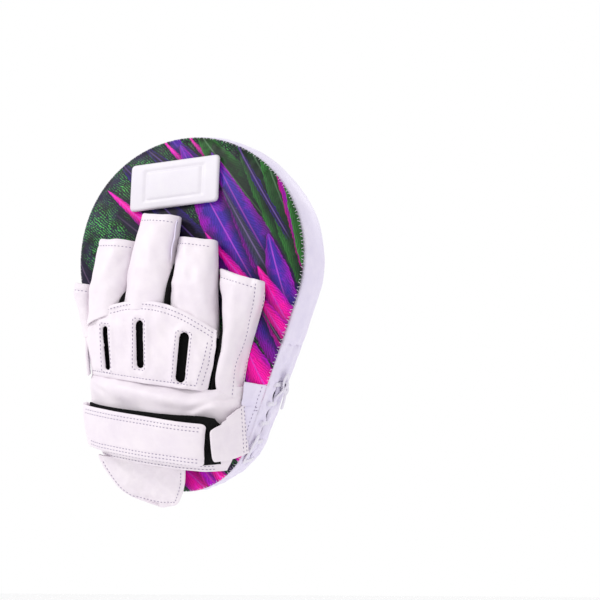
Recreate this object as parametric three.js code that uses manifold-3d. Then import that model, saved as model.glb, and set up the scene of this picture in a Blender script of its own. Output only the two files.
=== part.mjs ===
// Focus mitt for the left hand: a curved, laced foam pad with a leather glove sewn to its back.
// Millimetres. +Z runs up the fingers, +X is the thumb side, +Y faces the punch and the glove faces -Y.
// The origin is the palm's centre, in the hand pocket between the glove and the pad.
import * as THREE from "three";
import Module from "manifold-3d";

const wasm = await Module();
wasm.setup();

// Pad: the outline is the hull of two circles, with its middle pushed towards the thumb.
const TOP_RADIUS = 94.5;
const BOTTOM_RADIUS = 52.5;
const CENTRE_SPAN = 123;
const PAD_LENGTH = TOP_RADIUS + CENTRE_SPAN + BOTTOM_RADIUS;
const THUMB_SHIFT = 10.3;
const PAD_THICKNESS = 40;
const CURVE_RADIUS = 545;
const PAD_MID_Y = 31;
const PAD_MID_Z = 29;
const BACK = PAD_THICKNESS / 2;

// Materials' thicknesses and the clearance between neighbours.
const LEATHER = 2;
const CLEAR = 0.5;
const FOAM_INSET = 7;
const FOAM_OUTER = 9;

// Side wall, its lacing slit and the lace.
const WALL_BREAK = 143;
const SLIT_START = 50;
const SLIT_END = 132;
const HOLE_PITCH = 18;
const HOLE_PAIRS = 5;
const FIRST_HOLE = 55;
const HOLE_ROW = 6.5;
const HOLE_RADIUS = 2;
const LACE_RADIUS = 1.2;

// Glove: its own axes are turned on the pad, p across the hand and q along the fingers.
const GLOVE_TURN = THREE.MathUtils.degToRad(8.5);
const KNUCKLE_BOW = 0.005;
const KNUCKLE_CENTRE = -8;
const VENT_HALF_WIDTH = 2.3;

const WHITE_LEATHER = { color: 0xf1eaf2, roughness: 0.55 };
const PRINTED_LEATHER = { color: 0x6a2aa8, roughness: 0.5 };
const FOAM = { color: 0xd9d3b8, roughness: 0.95 };
const BLACK_TAPE = { color: 0x131315, roughness: 0.95 };
const LACE_CORD = { color: 0xf4f2f5, roughness: 0.8 };

const mitt = new THREE.Group();
mitt.name = "focus_mitt";

// ---- mesh helpers ----

function add(name, geometry, look) {
  const mesh = new THREE.Mesh(geometry, new THREE.MeshStandardMaterial({ ...look, metalness: 0 }));
  mesh.name = name;
  mitt.add(mesh);
}

function geometryOf(points, triangles) {
  const corner = (t) => points[t];
  let volume = 0;
  for (const [a, b, c] of triangles) {
    volume += corner(a).dot(corner(b).clone().cross(corner(c)));
  }
  const flat = triangles.flatMap(([a, b, c]) => (volume > 0 ? [a, b, c] : [a, c, b]));
  const geometry = new THREE.BufferGeometry();
  geometry.setAttribute("position", new THREE.Float32BufferAttribute(points.flatMap((v) => v.toArray()), 3));
  geometry.setIndex(flat);
  geometry.computeVertexNormals();
  return geometry;
}

// A closed sheet between two grids of points; closed = true joins each row's last point to its first.
function slab(outer, inner, closed = false) {
  const rows = outer.length;
  const columns = outer[0].length;
  const points = [...outer.flat(), ...inner.flat()];
  const o = (i, j) => i * columns + (j % columns);
  const n = (i, j) => rows * columns + o(i, j);
  const triangles = [];
  const quad = (a, b, c, d) => triangles.push([a, b, c], [a, c, d]);
  const spans = closed ? columns : columns - 1;
  for (let j = 0; j < spans; j += 1) {
    for (let i = 0; i < rows - 1; i += 1) {
      quad(o(i, j), o(i + 1, j), o(i + 1, j + 1), o(i, j + 1));
      quad(n(i, j), n(i, j + 1), n(i + 1, j + 1), n(i + 1, j));
    }
    quad(o(0, j), o(0, j + 1), n(0, j + 1), n(0, j));
    quad(o(rows - 1, j), n(rows - 1, j), n(rows - 1, j + 1), o(rows - 1, j + 1));
  }
  if (!closed) {
    for (let i = 0; i < rows - 1; i += 1) {
      quad(o(i, 0), n(i, 0), n(i + 1, 0), o(i + 1, 0));
      const j = columns - 1;
      quad(o(i, j), o(i + 1, j), n(i + 1, j), n(i, j));
    }
  }
  return geometryOf(points, triangles);
}

function manifoldOf(geometry) {
  const keys = new Map();
  const vertices = [];
  const position = geometry.getAttribute("position");
  const merged = Array.from({ length: position.count }, (_, i) => {
    const point = [position.getX(i), position.getY(i), position.getZ(i)];
    const key = point.map((v) => v.toFixed(4)).join();
    if (!keys.has(key)) {
      keys.set(key, vertices.length / 3);
      vertices.push(...point);
    }
    return keys.get(key);
  });
  const triVerts = new Uint32Array(Array.from(geometry.index.array, (i) => merged[i]));
  const mesh = new wasm.Mesh({ numProp: 3, vertProperties: new Float32Array(vertices), triVerts });
  return new wasm.Manifold(mesh);
}

function cut(geometry, cutters) {
  let solid = manifoldOf(geometry);
  for (const cutter of cutters) {
    solid = solid.subtract(manifoldOf(cutter));
  }
  const mesh = solid.getMesh();
  const result = new THREE.BufferGeometry();
  result.setAttribute("position", new THREE.Float32BufferAttribute(mesh.vertProperties, 3));
  result.setIndex(Array.from(mesh.triVerts));
  result.computeVertexNormals();
  return result;
}

// ---- the pad's curved frame ----

// x across the pad, s along it from its middle, h out of its mid-surface on the glove side.
function onPad(x, s, h) {
  const angle = s / (CURVE_RADIUS + BACK);
  const radius = CURVE_RADIUS + h;
  return new THREE.Vector3(
    x,
    PAD_MID_Y + CURVE_RADIUS - radius * Math.cos(angle),
    PAD_MID_Z + radius * Math.sin(angle),
  );
}

// The same for the glove's axes, with h measured from the pad's back face.
function onGlove(p, q, h) {
  const x = p * Math.cos(GLOVE_TURN) + q * Math.sin(GLOVE_TURN);
  const s = q * Math.cos(GLOVE_TURN) - p * Math.sin(GLOVE_TURN);
  return onPad(x, s, BACK + h);
}

const TOP_CENTRE = PAD_LENGTH / 2 - TOP_RADIUS;
const BOTTOM_CENTRE = BOTTOM_RADIUS - PAD_LENGTH / 2;
const SIDE_LEAN = Math.asin((TOP_RADIUS - BOTTOM_RADIUS) / CENTRE_SPAN);

function shift(s) {
  return THUMB_SHIFT * Math.cos((Math.PI * s) / PAD_LENGTH);
}

function halfWidth(s, inset) {
  const lean = Math.sin(SIDE_LEAN);
  const top = TOP_RADIUS - inset;
  const bottom = BOTTOM_RADIUS - inset;
  if (s > TOP_CENTRE - top * lean) {
    return Math.sqrt(top ** 2 - (s - TOP_CENTRE) ** 2);
  }
  if (s < BOTTOM_CENTRE - bottom * lean) {
    return Math.sqrt(bottom ** 2 - (s - BOTTOM_CENTRE) ** 2);
  }
  const along = s - (BOTTOM_CENTRE - bottom * lean);
  return bottom * Math.cos(SIDE_LEAN) + along * Math.tan(SIDE_LEAN);
}

// A layer of the pad between two heights; each of its strips across the pad is flat.
function padLayer(low, high, inset) {
  const strips = 27;
  const reach = PAD_LENGTH / 2 - inset - 0.15;
  const grid = (h) =>
    Array.from({ length: strips + 1 }, (_, i) => {
      const s = reach * Math.sin(Math.PI * (i / strips - 0.5));
      const half = halfWidth(s, inset);
      return [onPad(shift(s) - half, s, h), onPad(shift(s) + half, s, h)];
    });
  return slab(grid(high), grid(low));
}

// A point on the outline: u is the distance round from the bottom, towards the thumb side first.
function onEdge(u, out, h) {
  const lean = SIDE_LEAN;
  const bottomArc = BOTTOM_RADIUS * (Math.PI / 2 - lean);
  const side = CENTRE_SPAN * Math.cos(lean);
  const topArc = TOP_RADIUS * (Math.PI / 2 + lean);
  const half = bottomArc + side + topArc;
  const wrapped = ((u + half) % (2 * half)) - half;
  const hand = wrapped < 0 ? -1 : 1;
  const d = Math.abs(wrapped);
  let angle = -lean;
  let centre = BOTTOM_CENTRE;
  let radius = BOTTOM_RADIUS;
  let slide = 0;
  if (d < bottomArc) {
    angle = d / BOTTOM_RADIUS - Math.PI / 2;
  } else if (d < bottomArc + side) {
    slide = d - bottomArc;
  } else {
    angle = (d - bottomArc - side) / TOP_RADIUS - lean;
    centre = TOP_CENTRE;
    radius = TOP_RADIUS;
  }
  const x = (radius + out) * Math.cos(angle) + slide * Math.sin(lean);
  const s = centre + (radius + out) * Math.sin(angle) + slide * Math.cos(lean);
  return onPad(hand * x + shift(s), s, h);
}

const PERIMETER = 2 * (BOTTOM_RADIUS * (Math.PI / 2 - SIDE_LEAN) + CENTRE_SPAN * Math.cos(SIDE_LEAN)
  + TOP_RADIUS * (Math.PI / 2 + SIDE_LEAN));

// A length of side wall from u = start to u = end, bulging out at the middle of its height.
function wallStrip(start, end, bulge, steps) {
  const height = BACK - LEATHER - CLEAR;
  const levels = [-height, -height / 2, 0, height / 2, height];
  const grid = (out) =>
    Array.from({ length: steps + 1 }, (_, i) => {
      const u = start + ((end - start) * i) / steps;
      return levels.map((h) => onEdge(u, out + bulge * Math.cos((Math.PI * h) / (2 * height)), h));
    });
  return slab(grid(0), grid(-LEATHER));
}

// ---- the glove's curved panels ----

// Stations along the hand give the section's control points [p, h]; the sheet hangs inside them.
// bow bends a station's line to the arc of the knuckles, and lean tilts it.
function stationGrid(stations, columns, depth) {
  return stations.map(({ q, section, bow = 0, lean = 0 }) => {
    const curve = new THREE.SplineCurve(section.map(([p, h]) => new THREE.Vector2(p, h)));
    return Array.from({ length: columns }, (_, j) => {
      const t = j / (columns - 1);
      const point = curve.getPointAt(t);
      const along = curve.getTangentAt(t);
      const p = point.x + along.y * depth;
      const h = Math.max(point.y - along.x * depth, CLEAR + 0.1);
      const bend = -bow * KNUCKLE_BOW * (p - KNUCKLE_CENTRE) ** 2 + lean * p;
      return onGlove(p, q + bend, h);
    });
  });
}

function between(a, b, t) {
  const mix = (x, y) => x + (y - x) * t;
  return {
    q: mix(a.q, b.q),
    bow: mix(a.bow ?? 0, b.bow ?? 0),
    lean: mix(a.lean ?? 0, b.lean ?? 0),
    section: a.section.map(([p, h], i) => [mix(p, b.section[i][0]), mix(h, b.section[i][1])]),
  };
}

function refine(stations, steps) {
  const fine = [];
  for (let i = 0; i < stations.length - 1; i += 1) {
    for (let k = 0; k < steps; k += 1) {
      fine.push(between(stations[i], stations[i + 1], k / steps));
    }
  }
  return [...fine, stations.at(-1)];
}

function panel(stations, columns, thickness, depth = 0) {
  const rows = refine(stations, 3);
  return slab(stationGrid(rows, columns, depth), stationGrid(rows, columns, depth + thickness));
}

// A finger stall: a flat-bottomed tube between two stations { q, left, right, top, bow, lean }.
function stall(tip, root) {
  const sides = 20;
  const rows = 7;
  const low = CLEAR + 0.1;
  const grid = (depth) =>
    Array.from({ length: rows }, (_, i) => {
      const t = i / (rows - 1);
      const at = (key) => (tip[key] ?? 0) + ((root[key] ?? 0) - (tip[key] ?? 0)) * t;
      const middle = (at("left") + at("right")) / 2;
      const half = (at("right") - at("left")) / 2 - depth;
      const waist = low + 0.35 * (at("top") - low);
      return Array.from({ length: sides }, (_, j) => {
        const angle = (2 * Math.PI * j) / sides;
        const round = (v) => Math.sign(v) * Math.abs(v) ** 0.6;
        const p = middle + half * round(Math.cos(angle));
        const reach = Math.sin(angle) > 0 ? at("top") - waist : waist - low;
        const h = waist + (reach - depth) * round(Math.sin(angle));
        const bend = -at("bow") * KNUCKLE_BOW * (p - KNUCKLE_CENTRE) ** 2 + at("lean") * (p - middle);
        return onGlove(p, at("q") + bend, h);
      });
    });
  return slab(grid(0), grid(LEATHER), true);
}

// A slot's cutter through the knuckle panel, round-ended, from one point to another.
function ventCutter(from, to) {
  const ring = (h) => {
    const points = [];
    const turn = Math.atan2(to[1] - from[1], to[0] - from[0]);
    for (let k = 0; k < 12; k += 1) {
      const end = k < 6 ? to : from;
      const angle = turn - Math.PI / 2 + (Math.PI * (k < 6 ? k : k - 1)) / 5;
      points.push(onGlove(end[0] + VENT_HALF_WIDTH * Math.cos(angle), end[1] + VENT_HALF_WIDTH * Math.sin(angle), h));
    }
    return points;
  };
  return prism(ring(4), ring(60));
}

function prism(low, high) {
  const n = low.length;
  const triangles = [];
  for (let k = 0; k < n; k += 1) {
    const next = (k + 1) % n;
    triangles.push([k, next, n + next], [k, n + next, n + k]);
    if (k > 1) {
      triangles.push([0, k, k - 1], [n, n + k - 1, n + k]);
    }
  }
  return geometryOf([...low, ...high], triangles);
}

// ---- the pad ----

function buildPad() {
  add("strike_panel", padLayer(-BACK, LEATHER - BACK, 0), PRINTED_LEATHER);
  add("back_panel", padLayer(BACK - LEATHER, BACK, 0), PRINTED_LEATHER);
  const face = BACK - LEATHER - CLEAR;
  add("foam_strike_layer", padLayer(-face, FOAM_OUTER - face, FOAM_INSET), FOAM);
  add("foam_core", padLayer(FOAM_OUTER - face + CLEAR, face - FOAM_OUTER - CLEAR, FOAM_INSET), FOAM);
  add("foam_palm_layer", padLayer(face - FOAM_OUTER, face, FOAM_INSET), FOAM);
}

function holeCutter(u, row) {
  const ring = (out) =>
    Array.from({ length: 8 }, (_, k) => {
      const angle = (Math.PI * (2 * k + 1)) / 8;
      return onEdge(u + HOLE_RADIUS * Math.cos(angle), out, row + HOLE_RADIUS * Math.sin(angle));
    });
  return prism(ring(-6), ring(6));
}

function slitCutter() {
  const grid = (h) =>
    Array.from({ length: 13 }, (_, i) => {
      const u = SLIT_START + ((SLIT_END - SLIT_START) * i) / 12;
      return [onEdge(u, -6, h), onEdge(u, 6, h)];
    });
  return slab(grid(1.1), grid(-1.1));
}

function buildSideWall() {
  add("side_wall_upper", wallStrip(WALL_BREAK + CLEAR, PERIMETER - WALL_BREAK - CLEAR, 4, 44), WHITE_LEATHER);
  const cutters = [slitCutter()];
  for (let k = 0; k < HOLE_PAIRS; k += 1) {
    const u = FIRST_HOLE + HOLE_PITCH * k;
    cutters.push(holeCutter(u, -HOLE_ROW), holeCutter(u, HOLE_ROW));
  }
  add("side_wall_lower", cut(wallStrip(-WALL_BREAK, WALL_BREAK, 0, 34), cutters), WHITE_LEATHER);
}

// The lace crosses the slit outside at each pair of holes and steps on to the next pair inside.
function buildLace() {
  const last = FIRST_HOLE + HOLE_PITCH * (HOLE_PAIRS - 1);
  const outside = LACE_RADIUS + 0.5;
  const inside = -LEATHER - LACE_RADIUS - 0.6;
  const route = [
    [last - 20, -HOLE_ROW - 6, outside + 3.2],
    [last - 10, -HOLE_ROW - 5.5, outside + 2.4],
    [last - 2, -HOLE_ROW - 3.6, outside + 1],
    [last, -HOLE_ROW - 1.4, outside],
  ];
  for (let k = HOLE_PAIRS - 1; k >= 0; k -= 1) {
    const u = FIRST_HOLE + HOLE_PITCH * k;
    if (k < HOLE_PAIRS - 1) {
      route.push([u + 1.4, -HOLE_ROW, inside], [u, -HOLE_ROW, -LEATHER / 2], [u, -HOLE_ROW + 0.8, outside - 0.2]);
      route.push([u, -HOLE_ROW + 2.4, outside]);
    } else {
      route.push([u, -HOLE_ROW + 2, outside]);
    }
    route.push([u, HOLE_ROW - 2.4, outside]);
    if (k > 0) {
      route.push([u, HOLE_ROW - 0.8, outside - 0.2], [u, HOLE_ROW, -LEATHER / 2], [u - 1.4, HOLE_ROW, inside]);
    } else {
      route.push([u, HOLE_ROW + 1.6, outside], [u + 3, HOLE_ROW + 4.5, outside + 0.4]);
      route.push([u + 14, HOLE_ROW + 5.5, outside + 1.6], [u + 24, HOLE_ROW + 4.5, outside + 3]);
    }
  }
  const path = new THREE.CatmullRomCurve3(route.map(([u, h, out]) => onEdge(u, out, h)), false, "centripetal");
  const section = new THREE.Shape(
    Array.from({ length: 8 }, (_, k) => {
      const angle = (Math.PI * (2 * k + 1)) / 8;
      return new THREE.Vector2(LACE_RADIUS * Math.cos(angle), LACE_RADIUS * Math.sin(angle));
    }),
  );
  const cord = new THREE.ExtrudeGeometry(section, { extrudePath: path, steps: 130, bevelEnabled: false });
  add("side_lace", cord, LACE_CORD);
}

function buildBadge() {
  const grid = (h) =>
    Array.from({ length: 5 }, (_, i) => {
      const v = -19 + (38 * i) / 4;
      return [-38.3, 38.3].map((x) => {
        const turn = THREE.MathUtils.degToRad(3);
        const across = x * Math.cos(turn) - v * Math.sin(turn) - 5.4;
        return onPad(across, 98 + v * Math.cos(turn) + x * Math.sin(turn), BACK + h);
      });
    });
  add("badge_patch", slab(grid(CLEAR + 3), grid(CLEAR)), WHITE_LEATHER);
}

// ---- the glove ----

function knuckleStations() {
  const upper = [[-68, 0.6], [-67, 10], [-57, 18], [-38, 23], [-14, 25.5], [16, 26], [39, 24], [49, 20]];
  const lower = [[-62, 0.6], [-60.5, 9], [-51, 17], [-31, 23], [-6, 25.5], [20, 25.5], [40, 23], [48, 19]];
  return [
    { q: 4.5, bow: 1, section: upper },
    { q: -20, bow: 0.3, section: upper },
    { q: -54, section: lower },
  ];
}

function buildKnucklePanel() {
  const shell = panel(knuckleStations(), 16, LEATHER);
  const vents = [
    ventCutter([-45.5, -21], [-40.5, -46]),
    ventCutter([-14.2, -14.5], [-10.5, -40.5]),
    ventCutter([24.2, -19.5], [24, -46]),
  ];
  add("knuckle_panel", cut(shell, vents), WHITE_LEATHER);
  const lining = knuckleStations().map((station) => ({
    ...station,
    q: station.q > 0 ? 1.5 : station.q,
    section: station.section.slice(1),
  }));
  add("vent_lining", panel(lining, 14, 1, LEATHER + CLEAR), BLACK_TAPE);
}

function buildStalls() {
  const stalls = {
    pinky_stall: [
      { q: 10.5, left: -85, right: -70.5, top: 13 },
      { q: -20, left: -79, right: -69.8, top: 15 },
    ],
    ring_stall: [
      { q: 48, left: -69, right: -36.8, top: 12, lean: 0.06 },
      { q: 6, left: -68.6, right: -38.8, top: 21, bow: 1 },
    ],
    middle_stall: [
      { q: 68.5, left: -33.5, right: -2.5, top: 12, lean: 0.03 },
      { q: 6, left: -36.8, right: 4.8, top: 24, bow: 1 },
    ],
    index_stall: [
      { q: 56, left: 0.5, right: 34, top: 12, lean: 0.02 },
      { q: 6, left: 6.8, right: 48.4, top: 23, bow: 1 },
    ],
  };
  for (const [name, [tip, root]] of Object.entries(stalls)) {
    add(name, stall(tip, root), WHITE_LEATHER);
  }
  const thumb = [
    { q: 39, lean: -0.14, section: [[41.5, 0.6], [42.5, 7], [49, 10.5], [58, 12], [69, 11], [75.5, 7], [77, 0.6]] },
    { q: 0, section: [[49, 0.6], [49.6, 11], [53.5, 17.5], [60, 18], [67, 13], [71.5, 6], [73, 0.6]] },
    { q: -25, section: [[51.5, 0.6], [51.7, 12], [54, 20], [59, 19.5], [64, 13], [68, 6], [70, 0.6]] },
    { q: -54, section: [[50.5, 0.6], [50.7, 12], [53, 20], [58, 19], [62.5, 13], [65.5, 6], [67.5, 0.6]] },
  ];
  add("thumb_stall", panel(thumb, 16, LEATHER), WHITE_LEATHER);
}

function wristSection(grow, left, right) {
  const half = (right - left) / 2;
  const middle = (left + right) / 2;
  const shape = [[-1, 0.02], [-0.96, 0.36], [-0.78, 0.68], [-0.44, 0.92], [0.02, 1.02]];
  const thumbSide = [[0.44, 0.98], [0.72, 0.82], [0.87, 0.52], [0.96, 0.22], [1, 0.02]];
  return [...shape, ...thumbSide].map(([u, v]) => [middle + half * u, Math.max(v * grow, 0.6)]);
}

function buildWrist() {
  const wrist = [
    { q: -55.5, section: wristSection(24, -63, 67.5) },
    { q: -76, section: wristSection(27, -62, 65) },
    { q: -99, section: wristSection(24, -56, 61) },
  ];
  add("wrist_panel", panel(wrist, 22, 5), WHITE_LEATHER);
  const hem = [
    { q: -99.8, section: wristSection(23, -55.5, 60.5) },
    { q: -113, section: wristSection(20, -50, 55) },
  ];
  add("wrist_hem_band", panel(hem, 22, 3), WHITE_LEATHER);
  const side = [
    { q: -21.5, section: [[-77, 0.6], [-76, 6], [-72.5, 11]] },
    { q: -54, section: [[-70, 0.6], [-69, 5.5], [-66.2, 10]] },
  ];
  add("pinky_gusset", panel(side, 6, LEATHER), WHITE_LEATHER);
}

function buildThumbGusset() {
  const grid = (h) =>
    Array.from({ length: 7 }, (_, i) => {
      const s = -57 - (38 * i) / 6;
      const glove = 62.6 + (s + 57) * 0.27;
      return [onPad(glove, s, BACK + h), onPad(shift(s) + halfWidth(s, 1), s, BACK + h)];
    });
  add("thumb_gusset", slab(grid(CLEAR + LEATHER), grid(CLEAR)), WHITE_LEATHER);
}

const STRAP = [[-64.8, 5], [-64, 12], [-54, 22.5], [-31, 29.5], [0, 33.5], [28, 34.5], [43, 32.5], [49, 30]];

function buildStrap() {
  const strap = [
    { q: -76.5, section: STRAP },
    { q: -106, section: STRAP.map(([p, h]) => [p < -40 ? p + 4 : p, h - 2]) },
  ];
  add("wrist_strap", panel(strap, 22, 3), WHITE_LEATHER);
  const hook = strap.map(({ q, section }) => ({ q: q > -90 ? q - 3 : q + 3, section: section.slice(4, 7) }));
  add("strap_hook_tape", panel(hook, 8, 0.8, 3 + CLEAR), BLACK_TAPE);
  const keeper = [
    { q: -78, section: [[68.5, 5], [65.5, 14], [60, 23], [54.5, 30], [51.5, 31]].reverse() },
    { q: -103, section: [[65.5, 5], [62.5, 13], [58, 21.5], [54, 28], [51.5, 29]].reverse() },
  ];
  add("strap_keeper", panel(keeper, 10, 3), WHITE_LEATHER);
  const loop = [
    { q: -73, section: wristSection(26.6, -62.1, 65.4).slice(2, 8) },
    { q: -76, section: wristSection(27, -62, 65).slice(2, 8) },
    { q: -97, section: wristSection(24.3, -56.5, 61.3).slice(2, 8) },
  ];
  add("strap_loop_tape", panel(loop, 16, 0.8, -0.8 - CLEAR), BLACK_TAPE);
}

function buildCuffFlap() {
  const rows = [
    { q: -114, left: -46, right: 26.3, h: 15.5 },
    { q: -122, left: -42, right: 24, h: 13.5 },
    { q: -130, left: -36.5, right: 19.5, h: 11.5 },
    { q: -138, left: -27, right: 13, h: 9.5 },
    { q: -142, left: -20, right: 8.5, h: 8.6 },
    { q: -144, left: -12, right: 3, h: 8.2 },
  ];
  const grid = (drop) =>
    rows.map(({ q, left, right, h }) =>
      Array.from({ length: 7 }, (_, j) => {
        const u = j / 6;
        return onGlove(left + (right - left) * u, q, h - drop - 5 * (2 * u - 1) ** 2);
      }),
    );
  add("cuff_flap", slab(grid(0), grid(LEATHER)), WHITE_LEATHER);
}

buildPad();
buildSideWall();
buildLace();
buildBadge();
buildKnucklePanel();
buildStalls();
buildWrist();
buildThumbGusset();
buildStrap();
buildCuffFlap();

export default mitt;
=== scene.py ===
"""Focus mitt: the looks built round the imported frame.

Lengths are worked in millimetres and mapped to metres by on_pad and on_glove. x runs across the pad
towards the thumb, s along it, and h out of it on the glove side. The glove's own axes are p across
the hand and q along the fingers, turned on the pad by GLOVE_TURN.
"""
import math

import bmesh
import bpy
import numpy as np
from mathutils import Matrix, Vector
from mathutils.bvhtree import BVHTree


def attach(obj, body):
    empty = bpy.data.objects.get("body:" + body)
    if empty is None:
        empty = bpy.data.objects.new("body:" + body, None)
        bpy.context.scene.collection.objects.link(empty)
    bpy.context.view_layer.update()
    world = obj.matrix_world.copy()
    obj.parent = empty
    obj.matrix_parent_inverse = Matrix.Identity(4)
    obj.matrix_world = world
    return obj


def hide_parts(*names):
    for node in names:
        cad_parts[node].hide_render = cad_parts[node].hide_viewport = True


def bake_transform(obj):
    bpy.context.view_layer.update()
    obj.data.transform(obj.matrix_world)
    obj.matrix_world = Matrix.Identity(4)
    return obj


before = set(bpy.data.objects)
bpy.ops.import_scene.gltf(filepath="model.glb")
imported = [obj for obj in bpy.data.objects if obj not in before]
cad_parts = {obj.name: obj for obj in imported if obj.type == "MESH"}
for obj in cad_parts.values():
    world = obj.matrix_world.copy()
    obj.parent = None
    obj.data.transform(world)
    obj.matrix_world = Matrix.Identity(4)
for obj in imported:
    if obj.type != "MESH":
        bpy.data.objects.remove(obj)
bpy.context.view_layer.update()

ROOT = "pad_and_glove"

# ---- the pad's and the glove's axes, as in the CAD ----

TOP_RADIUS = 94.5
BOTTOM_RADIUS = 52.5
CENTRE_SPAN = 123.0
PAD_LENGTH = TOP_RADIUS + CENTRE_SPAN + BOTTOM_RADIUS
THUMB_SHIFT = 10.3
CURVE_RADIUS = 545.0
BACK = 20.0
PAD_MID_Y = 31.0
PAD_MID_Z = 29.0
TOP_CENTRE = PAD_LENGTH / 2 - TOP_RADIUS
BOTTOM_CENTRE = BOTTOM_RADIUS - PAD_LENGTH / 2
SIDE_LEAN = math.asin((TOP_RADIUS - BOTTOM_RADIUS) / CENTRE_SPAN)
BOTTOM_ARC = BOTTOM_RADIUS * (math.pi / 2 - SIDE_LEAN)
SIDE_RUN = CENTRE_SPAN * math.cos(SIDE_LEAN)
TOP_ARC = TOP_RADIUS * (math.pi / 2 + SIDE_LEAN)
PERIMETER = 2 * (BOTTOM_ARC + SIDE_RUN + TOP_ARC)
GLOVE_TURN = math.radians(8.5)
KNUCKLE_BOW = 0.005
KNUCKLE_CENTRE = -8.0
WALL_BREAK = 143.0


def on_pad(x, s, h):
    """A point in metres: x across the pad, s along its curve, h out of its mid-surface."""
    x, s, h = np.broadcast_arrays(x, s, h)
    angle = s / (CURVE_RADIUS + BACK)
    radius = CURVE_RADIUS + h
    y = PAD_MID_Y + CURVE_RADIUS - radius * np.cos(angle)
    z = PAD_MID_Z + radius * np.sin(angle)
    return np.stack([x, y, z], -1) * 0.001


def on_glove(p, q, h):
    """A point in metres: p across the hand, q along the fingers, h above the pad's back."""
    x = p * math.cos(GLOVE_TURN) + q * math.sin(GLOVE_TURN)
    s = q * math.cos(GLOVE_TURN) - p * math.sin(GLOVE_TURN)
    return on_pad(x, s, BACK + h)


def shift(s):
    """How far the outline's middle is pushed towards the thumb at s."""
    return THUMB_SHIFT * np.cos(math.pi * s / PAD_LENGTH)


def on_edge(u, out, h):
    """A point by its distance u round the outline from the bottom, out from it, and its height."""
    u, out, h = np.broadcast_arrays(np.asarray(u, float), np.asarray(out, float), np.asarray(h, float))
    half = PERIMETER / 2
    wrapped = (u + half) % PERIMETER - half
    hand = np.where(wrapped < 0, -1.0, 1.0)
    d = np.abs(wrapped)
    on_bottom, on_side = d < BOTTOM_ARC, d < BOTTOM_ARC + SIDE_RUN
    angle = np.where(on_bottom, d / BOTTOM_RADIUS - math.pi / 2, -SIDE_LEAN)
    angle = np.where(on_side, angle, (d - BOTTOM_ARC - SIDE_RUN) / TOP_RADIUS - SIDE_LEAN)
    centre = np.where(on_side, BOTTOM_CENTRE, TOP_CENTRE)
    radius = np.where(on_side, BOTTOM_RADIUS, TOP_RADIUS)
    slide = np.where(on_side & ~on_bottom, d - BOTTOM_ARC, 0.0)
    x = (radius + out) * np.cos(angle) + slide * math.sin(SIDE_LEAN)
    s = centre + (radius + out) * np.sin(angle) + slide * math.cos(SIDE_LEAN)
    return on_pad(hand * x + shift(s), s, h)


# ---- numbers along curves and over surfaces ----

def catmull(values, steps):
    """steps points on the smooth curve through values, an array whose first axis is the knots."""
    v = np.asarray(values, float)
    n = len(v) - 1
    ends = np.concatenate([[2 * v[0] - v[1]], v, [2 * v[-1] - v[-2]]])
    t = np.linspace(0, n, steps)
    i = np.minimum(t.astype(int), n - 1)
    f = (t - i).reshape((-1,) + (1,) * (v.ndim - 1))
    a, b, c, d = ends[i], ends[i + 1], ends[i + 2], ends[i + 3]
    return 0.5 * (2 * b + (c - a) * f + (2 * a - 5 * b + 4 * c - d) * f**2 + (3 * b - a - 3 * c + d) * f**3)


def evenly(points, count):
    """count points evenly spaced along a polyline."""
    points = np.asarray(points, float)
    run = np.concatenate([[0], np.cumsum(np.linalg.norm(np.diff(points, axis=0), axis=1))])
    at = np.linspace(0, run[-1], count)
    return np.stack([np.interp(at, run, points[:, k]) for k in range(points.shape[1])], -1)


def length_of(points):
    return float(np.linalg.norm(np.diff(np.asarray(points, float), axis=0), axis=1).sum())


def waves(P, scale, seed, stretch=(1, 1, 1)):
    """Smooth random relief of about unit size, with features near scale mm across."""
    count = 9
    rng = np.random.default_rng(seed)
    total = 0
    for _ in range(count):
        way = rng.normal(size=3)
        way /= np.linalg.norm(way)
        pitch = 2 * math.pi / scale * rng.uniform(0.55, 1.6)
        total = total + np.sin((P * 1000 * np.array(stretch)) @ way * pitch + rng.uniform(0, 6.3))
    return total / math.sqrt(count / 2)


def normals(P, wrap=(False, False)):
    def step(axis):
        if wrap[axis]:
            return np.roll(P, -1, axis) - np.roll(P, 1, axis)
        return np.gradient(P, axis=axis)
    n = np.cross(step(0), step(1))
    return n / np.maximum(np.linalg.norm(n, axis=-1, keepdims=True), 1e-12)


def seam_gap(a, b, line):
    """Distance of each (a, b) from a polyline."""
    best = np.full(np.shape(a), 1e9)
    line = np.asarray(line, float)
    for (x0, y0), (x1, y1) in zip(line[:-1], line[1:]):
        dx, dy = x1 - x0, y1 - y0
        t = np.clip(((a - x0) * dx + (b - y0) * dy) / max(dx * dx + dy * dy, 1e-9), 0, 1)
        best = np.minimum(best, np.hypot(a - x0 - t * dx, b - y0 - t * dy))
    return best


def bell(x, width):
    return np.exp(-(x / width) ** 2)


def squared(wave, power):
    """A sine or cosine made fuller, so that a section is between a circle and a square."""
    return np.sign(wave) * np.abs(wave) ** power


def dent(distance, depth, width):
    """A sewn line's groove, with the leather swelling slightly beside it."""
    return -depth * bell(distance, width) + 0.35 * depth * bell(distance - 2.6 * width, 1.4 * width)


def smooth(t):
    """0 to 1 with flat ends as t goes from 0 to 1."""
    t = np.clip(t, 0, 1)
    return t * t * (3 - 2 * t)


# ---- meshes ----

def new_object(name, verts, faces, material):
    mesh = bpy.data.meshes.new(name)
    mesh.from_pydata(np.asarray(verts).reshape(-1, 3).tolist(), [], [list(map(int, f)) for f in faces])
    mesh.materials.append(material)
    mesh.polygons.foreach_set("use_smooth", [True] * len(mesh.polygons))
    mesh.update()
    obj = bpy.data.objects.new(name, mesh)
    bpy.context.scene.collection.objects.link(obj)
    return obj


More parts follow.
